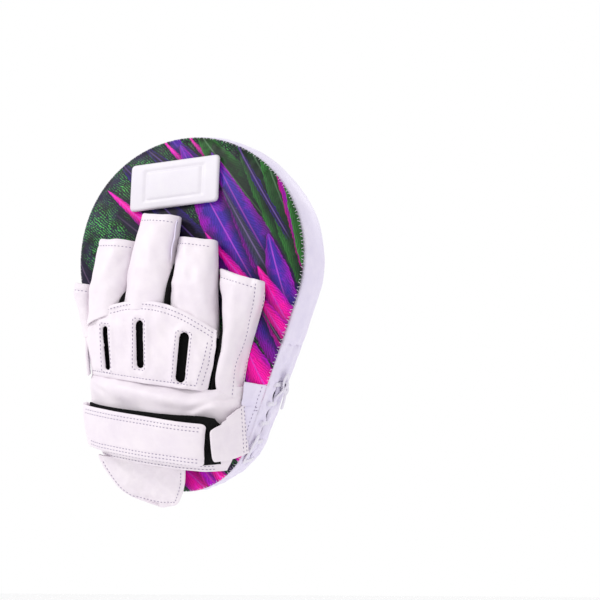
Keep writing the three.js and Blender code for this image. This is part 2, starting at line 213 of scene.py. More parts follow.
def grid_faces(rows, columns, wrap):
    i = np.arange(rows if wrap[0] else rows - 1)[:, None]
    j = np.arange(columns if wrap[1] else columns - 1)[None, :]
    i2, j2 = (i + 1) % rows, (j + 1) % columns
    return np.stack([i * columns + j, i2 * columns + j, i2 * columns + j2, i * columns + j2],
                    -1).reshape(-1, 4)


def bake_modifiers(obj):
    bpy.context.view_layer.update()
    depsgraph = bpy.context.evaluated_depsgraph_get()
    mesh = bpy.data.meshes.new_from_object(obj.evaluated_get(depsgraph))
    mesh.name = obj.name
    obj.modifiers.clear()
    old, obj.data = obj.data, mesh
    bpy.data.meshes.remove(old)
    return obj


def thickened(obj, thickness):
    """Leather of this thickness in mm, grown inwards from a surface."""
    solidify = obj.modifiers.new("thickness", "SOLIDIFY")
    solidify.thickness = thickness * 0.001
    solidify.offset = -1.0
    return bake_modifiers(obj)


def subdivided(obj, levels=1):
    modifier = obj.modifiers.new("smooth", "SUBSURF")
    modifier.levels = modifier.render_levels = levels
    return bake_modifiers(obj)


def from_grid(name, P, outward, material, thickness=0.0, wrap=(False, False), subdivide=1):
    """A piece from a grid of points; thickness in mm goes inwards from it."""
    n = normals(P, wrap)
    towards = outward(P) if callable(outward) else np.asarray(outward, float)
    if float(np.sum(n * towards)) < 0:
        P = P[:, ::-1]
    obj = new_object(name, P, grid_faces(*P.shape[:2], wrap), material)
    if thickness:
        thickened(obj, thickness)
    return subdivided(obj, subdivide) if subdivide else obj


def settle(obj, body, *replaced, slot=None, blend=None):
    """Puts a finished piece on its body; with a blend, it only bakes the piece's transform into its mesh.
    """
    if blend:
        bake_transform(obj)
    else:
        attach(obj, body)
    if replaced:
        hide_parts(*replaced)
    return obj


def hinge_line(ends, height):
    """The blend's end points, from the body's side of the hinge to the root's."""
    first, last = ends
    return Vector(on_glove(*last, height)), Vector(on_glove(*first, height))


def push(P, n, amount):
    return P + n * (np.asarray(amount) * 0.001)[..., None]


GLOVE_OUT = (0.0, -1.0, 0.0)


# ---- sewing ----

STITCH_PITCH = 2.9
STITCH_LENGTH = 1.75


class Sewing:
    """Collects stitches laid on a piece's surface and makes them one thread object."""

    def __init__(self, obj):
        bpy.context.view_layer.update()
        self.tree = BVHTree.FromObject(obj, bpy.context.evaluated_depsgraph_get())
        self.verts, self.faces = [], []

    def land(self, start, way):
        hits = [self.tree.ray_cast(Vector(o), Vector(d)) for o, d in zip(start, way)]
        return [(np.array(h[0]), np.array(h[1])) for h in hits if h[0] is not None]

    def row(self, start, way):
        """A row of stitches; start: points off the surface in order, way: the directions towards it."""
        hits = self.land(start, way)
        if len(hits) < 3:
            return
        at = np.array([h[0] for h in hits])
        up = np.array([h[1] for h in hits])
        run = np.concatenate([[0], np.cumsum(np.linalg.norm(np.diff(at, axis=0), axis=1))]) * 1000
        count = max(int(run[-1] / STITCH_PITCH), 1)
        where = (np.arange(count) + 0.5) * run[-1] / count
        half = STITCH_LENGTH / 2

        def sample(values, w):
            return np.stack([np.interp(w, run, values[:, k]) for k in range(3)], -1)

        self.add(sample(at, where - half), sample(at, where + half), sample(up, where), 0.29, 0.06)

    def add(self, a, b, up, radius, sink):
        """Stitches from points a to points b, with the surface's normals up."""
        along = b - a
        size = np.linalg.norm(along, axis=1, keepdims=True)
        keep = (size[:, 0] > 0.0005) & (size[:, 0] < 0.008)
        a, b, up, along, size = a[keep], b[keep], up[keep], along[keep], size[keep]
        if not len(a):
            return
        along = along / size
        up = up - along * np.sum(up * along, axis=1, keepdims=True)
        up /= np.maximum(np.linalg.norm(up, axis=1, keepdims=True), 1e-9)
        side = np.cross(along, up)
        stops = np.array([-1.0, -0.72, 0.0, 0.72, 1.0])
        rise = np.array([-0.34, 0.06, 0.16, 0.06, -0.34]) - sink
        thick = np.array([0.55, 0.95, 1.0, 0.95, 0.55]) * radius
        angle = np.arange(6) * math.pi / 3
        middle = (a + b) / 2
        ring = (middle[:, None] + along[:, None] * (stops[None, :, None] * size[:, None] / 2)
                + up[:, None] * (rise[None, :, None] * 0.001))
        r = (thick * 0.001)[None, :, None, None]
        verts = (ring[:, :, None] + side[:, None, None] * np.cos(angle)[None, None, :, None] * r
                 + up[:, None, None] * np.sin(angle)[None, None, :, None] * r * 0.8)
        base = sum(len(v) for v in self.verts)
        shape = [(k * 6 + m, k * 6 + (m + 1) % 6, (k + 1) * 6 + (m + 1) % 6, (k + 1) * 6 + m)
                 for k in range(4) for m in range(6)] + [tuple(range(5, -1, -1)), tuple(range(24, 30))]
        for i in range(len(a)):
            self.faces += [[base + i * 30 + v for v in face] for face in shape]
        self.verts.append(verts.reshape(-1, 3))

    def finish(self, name, material, body, blend=None):
        if not self.verts:
            return None
        obj = new_object(name, np.concatenate(self.verts), self.faces, material)
        return settle(obj, body, blend=blend)


def glove_rays(line, side=0.0):
    """Rays down on to the glove along a polyline of (p, q); side tilts them across the hand."""
    line = np.asarray(line, float)
    height = 70.0
    count = max(int(length_of(line)), 6)
    pq = evenly(catmull(line, count * 2) if len(line) > 2 else line, count)
    far = on_glove(pq[:, 0] + side * height, pq[:, 1], np.full(count, height))
    near = on_glove(pq[:, 0], pq[:, 1], np.zeros(count))
    way = near - far
    return far, way / np.linalg.norm(way, axis=1, keepdims=True)


# ---- materials ----

class Shader:
    """A material's node tree, with short calls for what is used often."""

    def __init__(self, name):
        self.material = bpy.data.materials.new(name)
        self.material.use_nodes = True
        self.tree = self.material.node_tree
        self.out = self.tree.nodes["Principled BSDF"]
        self.coords = self.tree.nodes.new("ShaderNodeTexCoord").outputs["Object"]

    def node(self, kind, **settings):
        node = self.tree.nodes.new(kind)
        for key, value in settings.items():
            setattr(node, key, value)
        return node

    def put(self, socket, value):
        if isinstance(value, bpy.types.NodeSocket):
            self.tree.links.new(value, socket)
        elif value is not None:
            socket.default_value = value

    def math(self, operation, a, b=None, c=None, clamp=False):
        node = self.node("ShaderNodeMath", operation=operation, use_clamp=clamp)
        for socket, value in zip(node.inputs, (a, b, c)):
            self.put(socket, value)
        return node.outputs[0]

    def noise(self, scale, detail=3.0, roughness=0.55, distortion=0.0):
        node = self.node("ShaderNodeTexNoise")
        self.put(node.inputs["Vector"], self.coords)
        node.inputs["Scale"].default_value = scale
        node.inputs["Detail"].default_value = detail
        node.inputs["Roughness"].default_value = roughness
        node.inputs["Distortion"].default_value = distortion
        return node.outputs["Fac"]

    def cells(self, scale, feature="DISTANCE_TO_EDGE"):
        node = self.node("ShaderNodeTexVoronoi", feature=feature)
        self.put(node.inputs["Vector"], self.coords)
        node.inputs["Scale"].default_value = scale
        return node.outputs["Distance"]

    def ramp(self, value, stops):
        node = self.node("ShaderNodeValToRGB")
        self.put(node.inputs[0], value)
        elements = node.color_ramp.elements
        while len(elements) < len(stops):
            elements.new(0.5)
        for element, (position, colour) in zip(elements, stops):
            element.position = position
            element.color = (*colour, 1.0)
        return node.outputs[0]

    def span(self, value, low, high, to_low=0.0, to_high=1.0):
        node = self.node("ShaderNodeMapRange")
        self.put(node.inputs[0], value)
        for socket, number in zip(list(node.inputs)[1:5], (low, high, to_low, to_high)):
            self.put(socket, number)
        return node.outputs[0]

    def mix(self, factor, a, b, blend="MIX"):
        node = self.node("ShaderNodeMix", data_type="RGBA", blend_type=blend)
        self.put(node.inputs[0], factor)
        for socket, value in ((node.inputs[6], a), (node.inputs[7], b)):
            self.put(socket, (*value, 1.0) if isinstance(value, tuple) else value)
        return node.outputs[2]

    def bump(self, height, strength, distance, under=None):
        node = self.node("ShaderNodeBump")
        node.inputs["Strength"].default_value = strength
        node.inputs["Distance"].default_value = distance
        self.put(node.inputs["Height"], height)
        self.put(node.inputs["Normal"], under)
        return node.outputs[0]

    def set(self, **values):
        for key, value in values.items():
            socket = self.out.inputs[key.replace("_", " ")]
            self.put(socket, (*value, 1.0) if isinstance(value, tuple) else value)
        return self.material


def leather(name, light, dark, rough=(0.42, 0.6), crease_depth=0.0004):
    """Smooth coated leather: pebbled grain, soft creases, and a slight change of tone."""
    s = Shader(name)
    tone = s.noise(38, 4, 0.6)
    smudge = s.noise(210, 3, 0.5)
    shade = s.math("ADD", s.math("MULTIPLY", tone, 0.7), s.math("MULTIPLY", smudge, 0.3))
    colour = s.ramp(s.span(shade, 0.34, 0.66), [(0.0, dark), (1.0, light)])
    pebble = s.span(s.cells(900.0), 0.0, 0.35)
    pores = s.noise(1710.0, 2, 0.5)
    fine = s.math("ADD", s.math("MULTIPLY", pebble, 0.7), s.math("MULTIPLY", pores, 0.4))
    crease = s.noise(95, 5, 0.62, 0.6)
    first = s.bump(crease, 0.28, crease_depth)
    second = s.bump(fine, 0.32, 0.00012, first)
    s.put(s.out.inputs["Roughness"], s.span(smudge, 0.3, 0.7, *rough))
    return s.set(Base_Color=colour, Normal=second, Coat_Weight=0.12, Coat_Roughness=0.35,
                 Specular_IOR_Level=0.35)


def fabric(name, light, dark, pitch=1300.0, rough=0.9, sheen=0.3):
    """A close weave of two thread directions."""
    s = Shader(name)
    split = s.node("ShaderNodeSeparateXYZ")
    s.put(split.inputs[0], s.coords)
    across = s.math("ADD", split.outputs[0], s.math("MULTIPLY", split.outputs[1], 0.6))
    along = s.math("SUBTRACT", split.outputs[2], s.math("MULTIPLY", split.outputs[1], 0.4))
    weft = s.math("SINE", s.math("MULTIPLY", s.math("ADD", along, across), pitch * 2.6))
    warp = s.math("SINE", s.math("MULTIPLY", s.math("SUBTRACT", along, across), pitch * 2.6))
    weave = s.math("MULTIPLY", weft, warp)
    fuzz = s.noise(pitch * 1.4, 3, 0.6)
    height = s.math("ADD", s.math("MULTIPLY", weave, 0.5), fuzz)
    # the colour follows the weave's height, darker in its hollows: painted shade
    colour = s.ramp(s.span(height, 0.0, 1.1), [(0.0, dark), (1.0, light)])
    s.put(s.out.inputs["Normal"], s.bump(height, 0.6, 0.0002))
    return s.set(Base_Color=colour, Roughness=rough, Sheen_Weight=sheen, Specular_IOR_Level=0.12)


def loop_pile(name, light, dark):
    """Hook and loop tape: a dense matt pile."""
    s = Shader(name)
    pile = s.cells(1500, "F1")
    fuzz = s.noise(2600, 2, 0.7)
    height = s.math("ADD", s.math("MULTIPLY", pile, 1.2), fuzz)
    # the colour follows the pile's height, darker in its hollows: painted shade
    colour = s.ramp(s.span(height, 0.4, 1.6), [(0.0, dark), (1.0, light)])
    s.put(s.out.inputs["Normal"], s.bump(height, 0.9, 0.0004))
    return s.set(Base_Color=colour, Roughness=0.95, Specular_IOR_Level=0.1)


def foam_look(name):
    """Closed-cell foam."""
    s = Shader(name)
    pores = s.cells(700, "F1")
    tone = s.noise(60, 3)
    colour = s.ramp(tone, [(0.35, (0.62, 0.58, 0.48)), (0.65, (0.72, 0.68, 0.58))])
    s.put(s.out.inputs["Normal"], s.bump(pores, 0.5, 0.0004))
    return s.set(Base_Color=colour, Roughness=0.95)


FEATHER_INPUTS = ("X", "Y", "Grain", "Tip X", "Tip Y", "Cos", "Sin", "Curve", "Width", "Length")


def feather_group():
    """Lays one feather over the colour under it: a curved vane with a shaft and slanting barbs."""
    group = bpy.data.node_groups.new("feather", "ShaderNodeTree")
    face = group.interface
    for name in ("Under", "Vane", "Edge"):
        face.new_socket(name, in_out="INPUT", socket_type="NodeSocketColor")
    for name in FEATHER_INPUTS:
        face.new_socket(name, in_out="INPUT", socket_type="NodeSocketFloat")
    face.new_socket("Colour", in_out="OUTPUT", socket_type="NodeSocketColor")
    s = Shader.__new__(Shader)
    s.tree = group
    given = group.nodes.new("NodeGroupInput").outputs
    result = group.nodes.new("NodeGroupOutput").inputs
    dx = s.math("SUBTRACT", given["X"], given["Tip X"])
    dy = s.math("SUBTRACT", given["Y"], given["Tip Y"])
    u = s.math("ADD", s.math("MULTIPLY", dx, given["Cos"]), s.math("MULTIPLY", dy, given["Sin"]))
    v = s.math("SUBTRACT", s.math("MULTIPLY", dy, given["Cos"]), s.math("MULTIPLY", dx, given["Sin"]))
    v = s.math("SUBTRACT", v, s.math("MULTIPLY", s.math("MULTIPLY", u, u), given["Curve"]))
    t = s.math("DIVIDE", u, given["Length"])
    swell = s.math("POWER", s.math("MULTIPLY", t, 2.0, clamp=True), 0.72)
    slant = s.math("MULTIPLY_ADD", s.math("ABSOLUTE", v), -3.4,
                   s.math("MULTIPLY_ADD", u, 1.5, s.math("MULTIPLY", given["Grain"], 38.0)))
    barb = s.math("SINE", slant)
    ragged = s.math("MULTIPLY_ADD", s.math("SUBTRACT", given["Grain"], 0.5), 6.0,
                    s.math("MULTIPLY", barb, 0.12))
    width = s.math("MAXIMUM", s.math("MULTIPLY_ADD", given["Width"], swell,
                                     s.math("MULTIPLY", ragged, swell)), 0.01)
    off = s.math("ABSOLUTE", v)
    share = s.math("DIVIDE", off, width)
    started = s.math("MULTIPLY", s.span(u, 0.0, 1.5), s.span(t, 1.0, 0.9))
    cover = s.math("MULTIPLY", s.span(share, 1.0, 0.93), started)
    cast = s.math("MULTIPLY", s.span(s.math("SUBTRACT", off, width), 7.0, -2.0, 0.0, 0.75), started)
    shadowed = s.mix(cast, given["Under"], (0.004, 0.003, 0.01))
    tone = s.math("MULTIPLY_ADD", s.math("SUBTRACT", given["Grain"], 0.5), 1.6,
                  s.math("POWER", share, 3.5), clamp=True)
    vane = s.mix(tone, given["Vane"], given["Edge"])
    lit = s.math("MULTIPLY_ADD", barb, 0.2, s.span(share, 1.0, 0.2, 0.5, 1.0))
    grey = s.node("ShaderNodeCombineColor")
    for socket in grey.inputs[:3]:
        s.put(socket, lit)
    vane = s.mix(1.0, vane, grey.outputs[0], "MULTIPLY")
    shaft = s.math("MULTIPLY", s.span(off, 0.75, 0.25), s.span(t, 0.0, 0.25, 0.2, 0.75))
    vane = s.mix(s.math("MULTIPLY", shaft, 0.7), vane, s.mix(0.15, given["Edge"], (1.0, 0.6, 1.0)))
    s.put(result["Colour"], s.mix(cover, shadowed, vane))
    return group


PINK = (0.9, 0.004, 0.36)
MAGENTA = (0.55, 0.0, 0.66)
VIOLET = (0.2, 0.005, 0.6)
BLUE_VIOLET = (0.055, 0.018, 0.33)
DEEP = (0.012, 0.01, 0.03)


def feather_print(name, feathers):
    """Printed leather: feathers laid over a dark plumage, on the leather's fine grain.

    A feather is (tip x, tip z, heading from tip to root in degrees, bend, half width, length,
    vane, edge)."""
    s = Shader(name)
    split = s.node("ShaderNodeSeparateXYZ")
    s.put(split.inputs[0], s.coords)
    x = s.math("MULTIPLY", split.outputs[0], 1000.0)
    z = s.math("MULTIPLY", split.outputs[2], 1000.0)
    grain = s.noise(75, 4, 0.6, 0.4)
    slant = s.math("SINE", s.math("ADD", s.math("MULTIPLY_ADD", x, 2.3, s.math("MULTIPLY", z, 2.9)),
                                  s.math("MULTIPLY", grain, 26.0)))
    patch = s.span(s.noise(24, 3, 0.6), 0.4, 0.55)
    speck = s.span(s.noise(900, 2, 0.6), 0.42, 0.7)
    gleam = s.math("MULTIPLY", s.math("MULTIPLY", s.span(slant, -0.4, 0.7), patch), speck)
    under = s.ramp(grain, [(0.35, (0.008, 0.010, 0.012)), (0.6, (0.022, 0.014, 0.05))])
    colour = s.mix(gleam, under, (0.13, 0.8, 0.13))
    group = feather_group()
    for tip_x, tip_z, heading, bend, half, length, vane, edge in feathers:
        node = s.node("ShaderNodeGroup", node_tree=group)
        s.put(node.inputs["Under"], colour)
        node.inputs["Vane"].default_value = (*vane, 1.0)
        node.inputs["Edge"].default_value = (*edge, 1.0)
        turn = math.radians(heading)
        numbers = (x, z, grain, float(tip_x), float(tip_z), math.cos(turn), math.sin(turn), bend,
                   float(half), float(length))
        for key, value in zip(FEATHER_INPUTS, numbers):
            s.put(node.inputs[key], value)
        colour = node.outputs[0]
    pebble = s.span(s.cells(850), 0.0, 0.35)
    crease = s.bump(s.noise(60, 4, 0.6), 0.15, 0.0005)
    s.put(s.out.inputs["Normal"], s.bump(pebble, 0.16, 0.0001, crease))
    s.put(s.out.inputs["Roughness"], s.span(grain, 0.3, 0.7, 0.38, 0.52))
    return s.set(Base_Color=colour, Specular_IOR_Level=0.16)


WHITE = (0.79, 0.725, 0.77)
TINT = (0.73, 0.66, 0.73)
white_leather = leather("white_leather", WHITE, TINT)
soft_leather = leather("soft_white_leather", WHITE, TINT, crease_depth=0.0008)
# a darker, bluer copy of the white leather: painted shade, used on the pad's side wall, the thumb gusset
# and the middle stall's seam ridge
painted_shade_leather = leather("painted_shade_leather", (0.735, 0.68, 0.81), (0.65, 0.6, 0.76), rough=(0.36, 0.52))
badge_leather = leather("badge_leather", (0.70, 0.67, 0.71), (0.66, 0.62, 0.69), rough=(0.3, 0.42),
                        crease_depth=0.0001)
# black cloth for the vent lining under the slots, and for the fins that paint shade into the gaps between
# the stalls
black_lining_and_gap_shade = fabric("black_lining_and_gap_shade", (0.008, 0.008, 0.009), (0.001, 0.001, 0.001), sheen=0.0)
black_pile = loop_pile("black_tape", (0.012, 0.012, 0.013), (0.001, 0.001, 0.001))
lace_weave = fabric("lace_weave", (0.84, 0.81, 0.87), (0.6, 0.56, 0.68), pitch=1900.0)
thread = fabric("sewing_thread", (0.34, 0.28, 0.42), (0.2, 0.16, 0.28), pitch=4200.0, rough=0.7)
pale_thread = fabric("pale_thread", (0.78, 0.72, 0.82), (0.6, 0.54, 0.66), pitch=4200.0, rough=0.7)
foam_material = foam_look("foam")


# ---- the pad ----

def face_height(inset, crown=1.1):
    """Height of a face panel above the pad's mid-surface, by its distance in from the edge."""
    return BACK - 0.3 - 2.3 * np.exp(-np.maximum(inset, 0) / 2.4) + crown * smooth(inset / 60)


def face_panel(name, side, material):
    """A face of the pad: rings from its middle to its edge, crowned and rolled over at the wall."""
    rings, around = 44, 260
    share = 1 - (1 - np.linspace(0, 1, rings)) ** 1.25
    u = np.arange(around) * PERIMETER / around
    edge = on_edge(u, 1.0 if side > 0 else -1.0, 0.0) * 1000
    x_edge = edge[:, 0]
    s_edge = (CURVE_RADIUS + BACK) * np.arcsin((edge[:, 2] - PAD_MID_Z) / CURVE_RADIUS)
    x = 6 + (x_edge - 6) * share[:, None]
    s = s_edge * share[:, None]
    inset = (1 - share[:, None]) * np.hypot(x_edge - 6, s_edge)[None, :]
    h = face_height(inset, 0.0 if side > 0 else 1.3)
    relief = 0.28 * waves(on_pad(x, s, side * h), 75, 5 if side > 0 else 6) * smooth(inset / 12)
    relief[:2] = relief[:2].mean()
    pucker = 0.25 * np.sin(u * 2 * math.pi / 9.5)[None, :] * bell(inset - 5, 4)
    P = on_pad(x, s, side * (h + relief + pucker))
    verts = np.concatenate([P[0, :1], P[2:].reshape(-1, 3)])
    faces = (grid_faces(rings - 2, around, (False, True)) + 1).tolist()
    faces += [[0, 1 + j, 1 + (j + 1) % around] for j in range(around)]
    obj = face_out(new_object(name, verts, faces, material), (0, -side, 0))
    return thickened(obj, 1.6)


def wall_section(bulge, columns):
    """(out, h) across the wall, with both its edges folded on to the faces."""
    lip = [(-2.6, 14.3), (-1.3, 14.8), (-0.1, 15.3), (0.3 * bulge + 0.3, 14.4),
           (0.72 * bulge + 0.3, 10.8), (bulge + 0.3, 5.5), (1.06 * bulge + 0.3, 0.0)]
    section = (lip + [(out, -h) for out, h in lip[-2:2:-1]]
               + [(0.9, -17.3), (0.1, -18.3), (-1.3, -18.6), (-2.2, -18.0), (-2.4, -17.0)])
    return evenly(catmull(section, 220), columns)


def upper_wall():
    """The smooth gusset round the top of the pad, puffed out between its seams."""
    start, end = WALL_BREAK - 1.5, PERIMETER - WALL_BREAK + 1.5
    rows = 230
    u = np.linspace(start, end, rows)[:, None]
    section = wall_section(5.2, 30)
    plain = wall_section(1.2, 30)
    fold = smooth(np.minimum(u - start, end - u) / 5.0) ** 0.5
    out = plain[:, 0] + 1.3 + (section[:, 0] - plain[:, 0] - 1.3 + 0.3) * fold
    out = np.where(np.abs(section[None, :, 1]) > 17.0, section[None, :, 0], out)
    h = np.broadcast_to(section[:, 1], out.shape)
    P = on_edge(u, out, h)
    middle = np.cos(h / BACK * math.pi / 2)
    relief = (0.45 * waves(P, 60, 11) + 0.2 * waves(P, 22, 12)) * middle
    draw = 0.8 * bell(u - start, 16) * np.sin(h * 0.55) + 0.8 * bell(end - u, 16) * np.sin(h * 0.5)
    P = push(P, normals(P) * outward_sign(P), relief + draw * middle)
    return from_grid("side_wall_upper_leather", P, from_pad_middle, painted_shade_leather, 1.6)


def from_pad_middle(P):
    """Away from the pad's middle: the outward way of the wall."""
    middle = np.array([0.004, PAD_MID_Y * 0.001, PAD_MID_Z * 0.001])
    return P - middle


def outward_sign(P):
    return 1.0 if float(np.sum(normals(P) * from_pad_middle(P))) > 0 else -1.0


# the lacing slit and its holes, by u, and the holes' height above and below the slit
SLIT_START, SLIT_END = 43.0, 115.0
HOLE_PITCH, HOLE_PAIRS, FIRST_HOLE, HOLE_ROW = 15.5, 5, 48.0, 6.5


def slit_gape(u):
    """Half the slit's opening at u, pulled in a little at each pair of holes."""
    along = np.clip((u - SLIT_START) / (SLIT_END - SLIT_START), 0, 1)
    hold = 0.75 + 0.25 * np.cos(2 * math.pi * (u - FIRST_HOLE - 9) / HOLE_PITCH)
    return 1.5 * np.sqrt(np.maximum(4 * along * (1 - along), 0)) * hold


def level_middle(section, columns):
    """The section resampled so that its middle point is at h = 0."""
    top, low = section[section[:, 1] >= 0], section[section[:, 1] < 0]
    middle = np.array([[section[np.argmin(np.abs(section[:, 1])), 0], 0.0]])
    first = evenly(np.concatenate([top, middle]), columns)
    second = evenly(np.concatenate([middle, low]), columns)
    return np.concatenate([first, second[1:]])


def lower_wall():
    """The laced wall round the bottom, in two halves that part at the slit."""
    rows, columns = 250, 34
    u = np.linspace(-WALL_BREAK - 3.0, WALL_BREAK + 3.0, rows)[:, None]
    section = level_middle(wall_section(1.6, 400), columns)
    verts, faces = [], []
    for side in (1, -1):
        gape = slit_gape(u)
        half = section[:columns] if side > 0 else section[::-1][:columns] * np.array([1, -1])
        h = half[None, :, 1] * (1 - gape / 19.0) + gape
        out = half[None, :, 0] + 0 * u
        roll = bell(h - gape, 0.9) * np.minimum(gape, 1.0)
        out = out - 1.5 * roll + 0.7 * bell(h - gape - 3.0, 2.0) * np.minimum(gape, 1.0)
        P = on_edge(u, out, side * h)
        face = np.cos(h / BACK * math.pi / 2)
        creases = (0.55 * waves(P, 30, 21, stretch=(1, 1.7, 1)) + 0.4 * waves(P, 13, 22)
                   + 0.18 * waves(P, 6, 23))
        pull = 0
        for k in range(HOLE_PAIRS):
            at = FIRST_HOLE + HOLE_PITCH * k
            gap = np.hypot(u - at, h - HOLE_ROW)
            pull = pull - 0.8 * bell(gap, 2.6) + 0.35 * bell(gap - 5, 2.0)
        P = push(P, normals(P) * outward_sign(P), (creases + pull) * np.minimum(face * 1.6, 1) * (1 - roll))
        if side < 0:
            grid = grid_faces(rows, columns, (False, False))[:, ::-1]
        else:
            grid = grid_faces(rows, columns, (False, False))
        faces.append(grid + sum(len(v) for v in verts))
        verts.append(P.reshape(-1, 3))
    obj = new_object("side_wall_lower_leather", np.concatenate(verts), np.concatenate(faces), painted_shade_leather)
    weld = obj.modifiers.new("weld", "WELD")
    weld.merge_threshold = 0.00002
    bake_modifiers(obj)
    if np.sum([p.normal.dot(Vector(from_pad_middle(np.array(p.center)))) for p in obj.data.polygons]) < 0:
        obj.data.flip_normals()
    return thickened(obj, 1.8)


def lace_route():
    """The lace's knots (u, h, out), as in the CAD: across outside, on to the next pair inside."""
    last = FIRST_HOLE + HOLE_PITCH * (HOLE_PAIRS - 1)
    outside, inside = 1.7, -3.8
    row = HOLE_ROW
    route = [(last - 20, -row - 6, outside + 3.2), (last - 10, -row - 5.5, outside + 2.4),
             (last - 2, -row - 3.6, outside + 1), (last, -row - 1.4, outside)]
    for k in range(HOLE_PAIRS - 1, -1, -1):
        u = FIRST_HOLE + HOLE_PITCH * k
        if k < HOLE_PAIRS - 1:
            route += [(u + 1.4, -row, inside), (u, -row, -1.0), (u, -row + 0.8, outside - 0.2),
                      (u, -row + 2.4, outside)]
        else:
            route += [(u, -row + 2, outside)]
        route += [(u, row - 2.4, outside)]
        if k > 0:
            route += [(u, row - 0.8, outside - 0.2), (u, row, -1.0), (u - 1.4, row, inside)]
        else:
            route += [(u, row + 1.6, outside), (u + 3, row + 4.5, outside + 0.4),
                      (u + 14, row + 5.5, outside + 1.6), (u + 24, row + 4.5, outside + 3)]
    return np.array(route)


def ribbon(name, centre, up, width, thickness, material):
    """A flat lace along centre, its face turned to up, with rounded edges and ends."""
    centre = np.asarray(centre)
    along = np.gradient(centre, axis=0)
    along /= np.linalg.norm(along, axis=1, keepdims=True)
    up = up - along * np.sum(up * along, axis=1, keepdims=True)
    up /= np.linalg.norm(up, axis=1, keepdims=True)
    side = np.cross(along, up)
    sides = 14
    angle = np.arange(sides) * 2 * math.pi / sides
    c, s = np.cos(angle), np.sin(angle)
    across = squared(c, 0.7) * width / 2000
    lift = squared(s, 0.7) * thickness / 2000
    n = len(centre)
    taper = np.ones(n)
    taper[0] = taper[-1] = 0.55
    P = (centre[:, None] + side[:, None] * across[None, :, None] * taper[:, None, None]
         + up[:, None] * lift[None, :, None] * taper[:, None, None])
    faces = grid_faces(n, sides, (False, True)).tolist()
    faces += [list(range(sides)), list(range(n * sides - 1, (n - 1) * sides - 1, -1))]
    return new_object(name, P, faces, material)


def from_own_middle(P):
    return P - P.mean(axis=(0, 1))


def make_lace():
    """The lace through its holes, with a bow of two loops, two tails and a knot."""
    route = lace_route()
    route[:, 2] = np.where(route[:, 2] > 1, route[:, 2] + 0.5, route[:, 2])
    knots = catmull(route, 620)
    knots = knots[np.concatenate([[True], np.linalg.norm(np.diff(knots, axis=0), axis=1) > 1e-6])]
    centre = on_edge(knots[:, 0], knots[:, 2], knots[:, 1])
    up = on_edge(knots[:, 0], knots[:, 2] + 3, knots[:, 1]) - centre
    lace = ribbon("side_lace_cord", centre, up, 3.6, 1.3, lace_weave)
    settle(lace, ROOT, "side_lace", slot="lace_cord")
    top = FIRST_HOLE + HOLE_PITCH * (HOLE_PAIRS - 1)
    pieces = []
    t = np.linspace(0, 1, 60)
    for turn, reach, spread, way in ((0.5, 10, 6, 1.0), (-0.45, 9, 5.5, -0.8)):
        a = (t - 0.5) * 2 * math.pi * 0.88
        r = reach / 2
        u = top + math.cos(turn) * (r * (1 + np.cos(a)) - 0.6) * way
        h = -HOLE_ROW + 1 + math.sin(turn) * r * (1 + np.cos(a)) + spread / 2 * np.sin(a)
        pieces.append((u, 4.2 + 1.6 * np.sin(t * math.pi), h))
    for turn, reach, way in ((0.1, 14, 1.0), (-0.2, 11, 0.7)):
        away = t * reach
        u = top - 1 - away * math.cos(turn) * way
        h = -HOLE_ROW + 1 + away * math.sin(turn) * 1.5 + 1.4 * np.sin(t * 3)
        pieces.append((u, 4.4 - 2.2 * t + 1.1 * np.sin(t * 6), h))
    for index, (u, out, h) in enumerate(pieces):
        centre = on_edge(u, out, h)
        up = on_edge(u, out + 3, h) - centre
        settle(ribbon("lace_bow_%d" % index, centre, up, 3.3, 1.1, lace_weave), ROOT, slot="lace_cord")
    t = np.linspace(0, 2 * math.pi, 40, endpoint=False)
    u = top + 2.4 * np.cos(t)
    out = 4.6 + 2.0 * np.sin(t)
    rings = []
    for angle in np.linspace(0, 2 * math.pi, 12, endpoint=False):
        wide = math.cos(angle)
        h = -HOLE_ROW + 1.2 + 1.9 * math.sin(angle)
        rings.append(on_edge(u + 1.2 * wide * np.cos(t), out + 0.9 * wide * np.sin(t), h))
    knot = from_grid("lace_knot", np.array(rings), from_own_middle, lace_weave, wrap=(True, True))
    settle(knot, ROOT, slot="lace_cord")


def pad_stitches(wall):
    """Zigzag stitches over the seam between each face and the wall."""
    for side, name in ((1, "back"), (-1, "strike")):
        sewing = Sewing(wall)
        count = int(PERIMETER / 2.9)
        u = np.arange(count) * PERIMETER / count
        zig = np.where(np.arange(count) % 2 == 0, 1.0, -1.0)
        if side > 0:
            inner = on_edge(u - zig * 0.6, -0.3, face_height(1.3, 0.0) + 0.1)
            outer = on_edge(u + zig * 0.6, 1.7, 16.3)
        else:
            inner = on_edge(u - zig * 0.6, -2.9, -face_height(1.9, 1.3) - 0.1)
            outer = on_edge(u + zig * 0.6, -0.7, -18.65)
        up = on_edge(u, 8.0, side * 26.0) - on_edge(u, 0.0, side * 16.0)
        sewing.add(inner, outer, up / np.linalg.norm(up, axis=1, keepdims=True), radius=0.2, sink=-0.1)
        sewing.finish("seam_thread_" + name, pale_thread, ROOT)


def make_pad():
    """The two faces, the wall in two lengths, its stitches, and the foam's material."""
    back = face_panel("back_panel_leather", 1, back_print)
    strike = face_panel("strike_panel_leather", -1, strike_print)
    settle(back, ROOT, "back_panel", slot="printed_leather")
    settle(strike, ROOT, "strike_panel", slot="printed_leather")
    top = upper_wall()
    low = lower_wall()
    settle(top, ROOT, "side_wall_upper", slot="white_leather")
    settle(low, ROOT, "side_wall_lower", slot="white_leather")
    pad_stitches(top)
    for node in ("foam_strike_layer", "foam_core", "foam_palm_layer"):
        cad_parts[node].data.materials.clear()
        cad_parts[node].data.materials.append(foam_material)


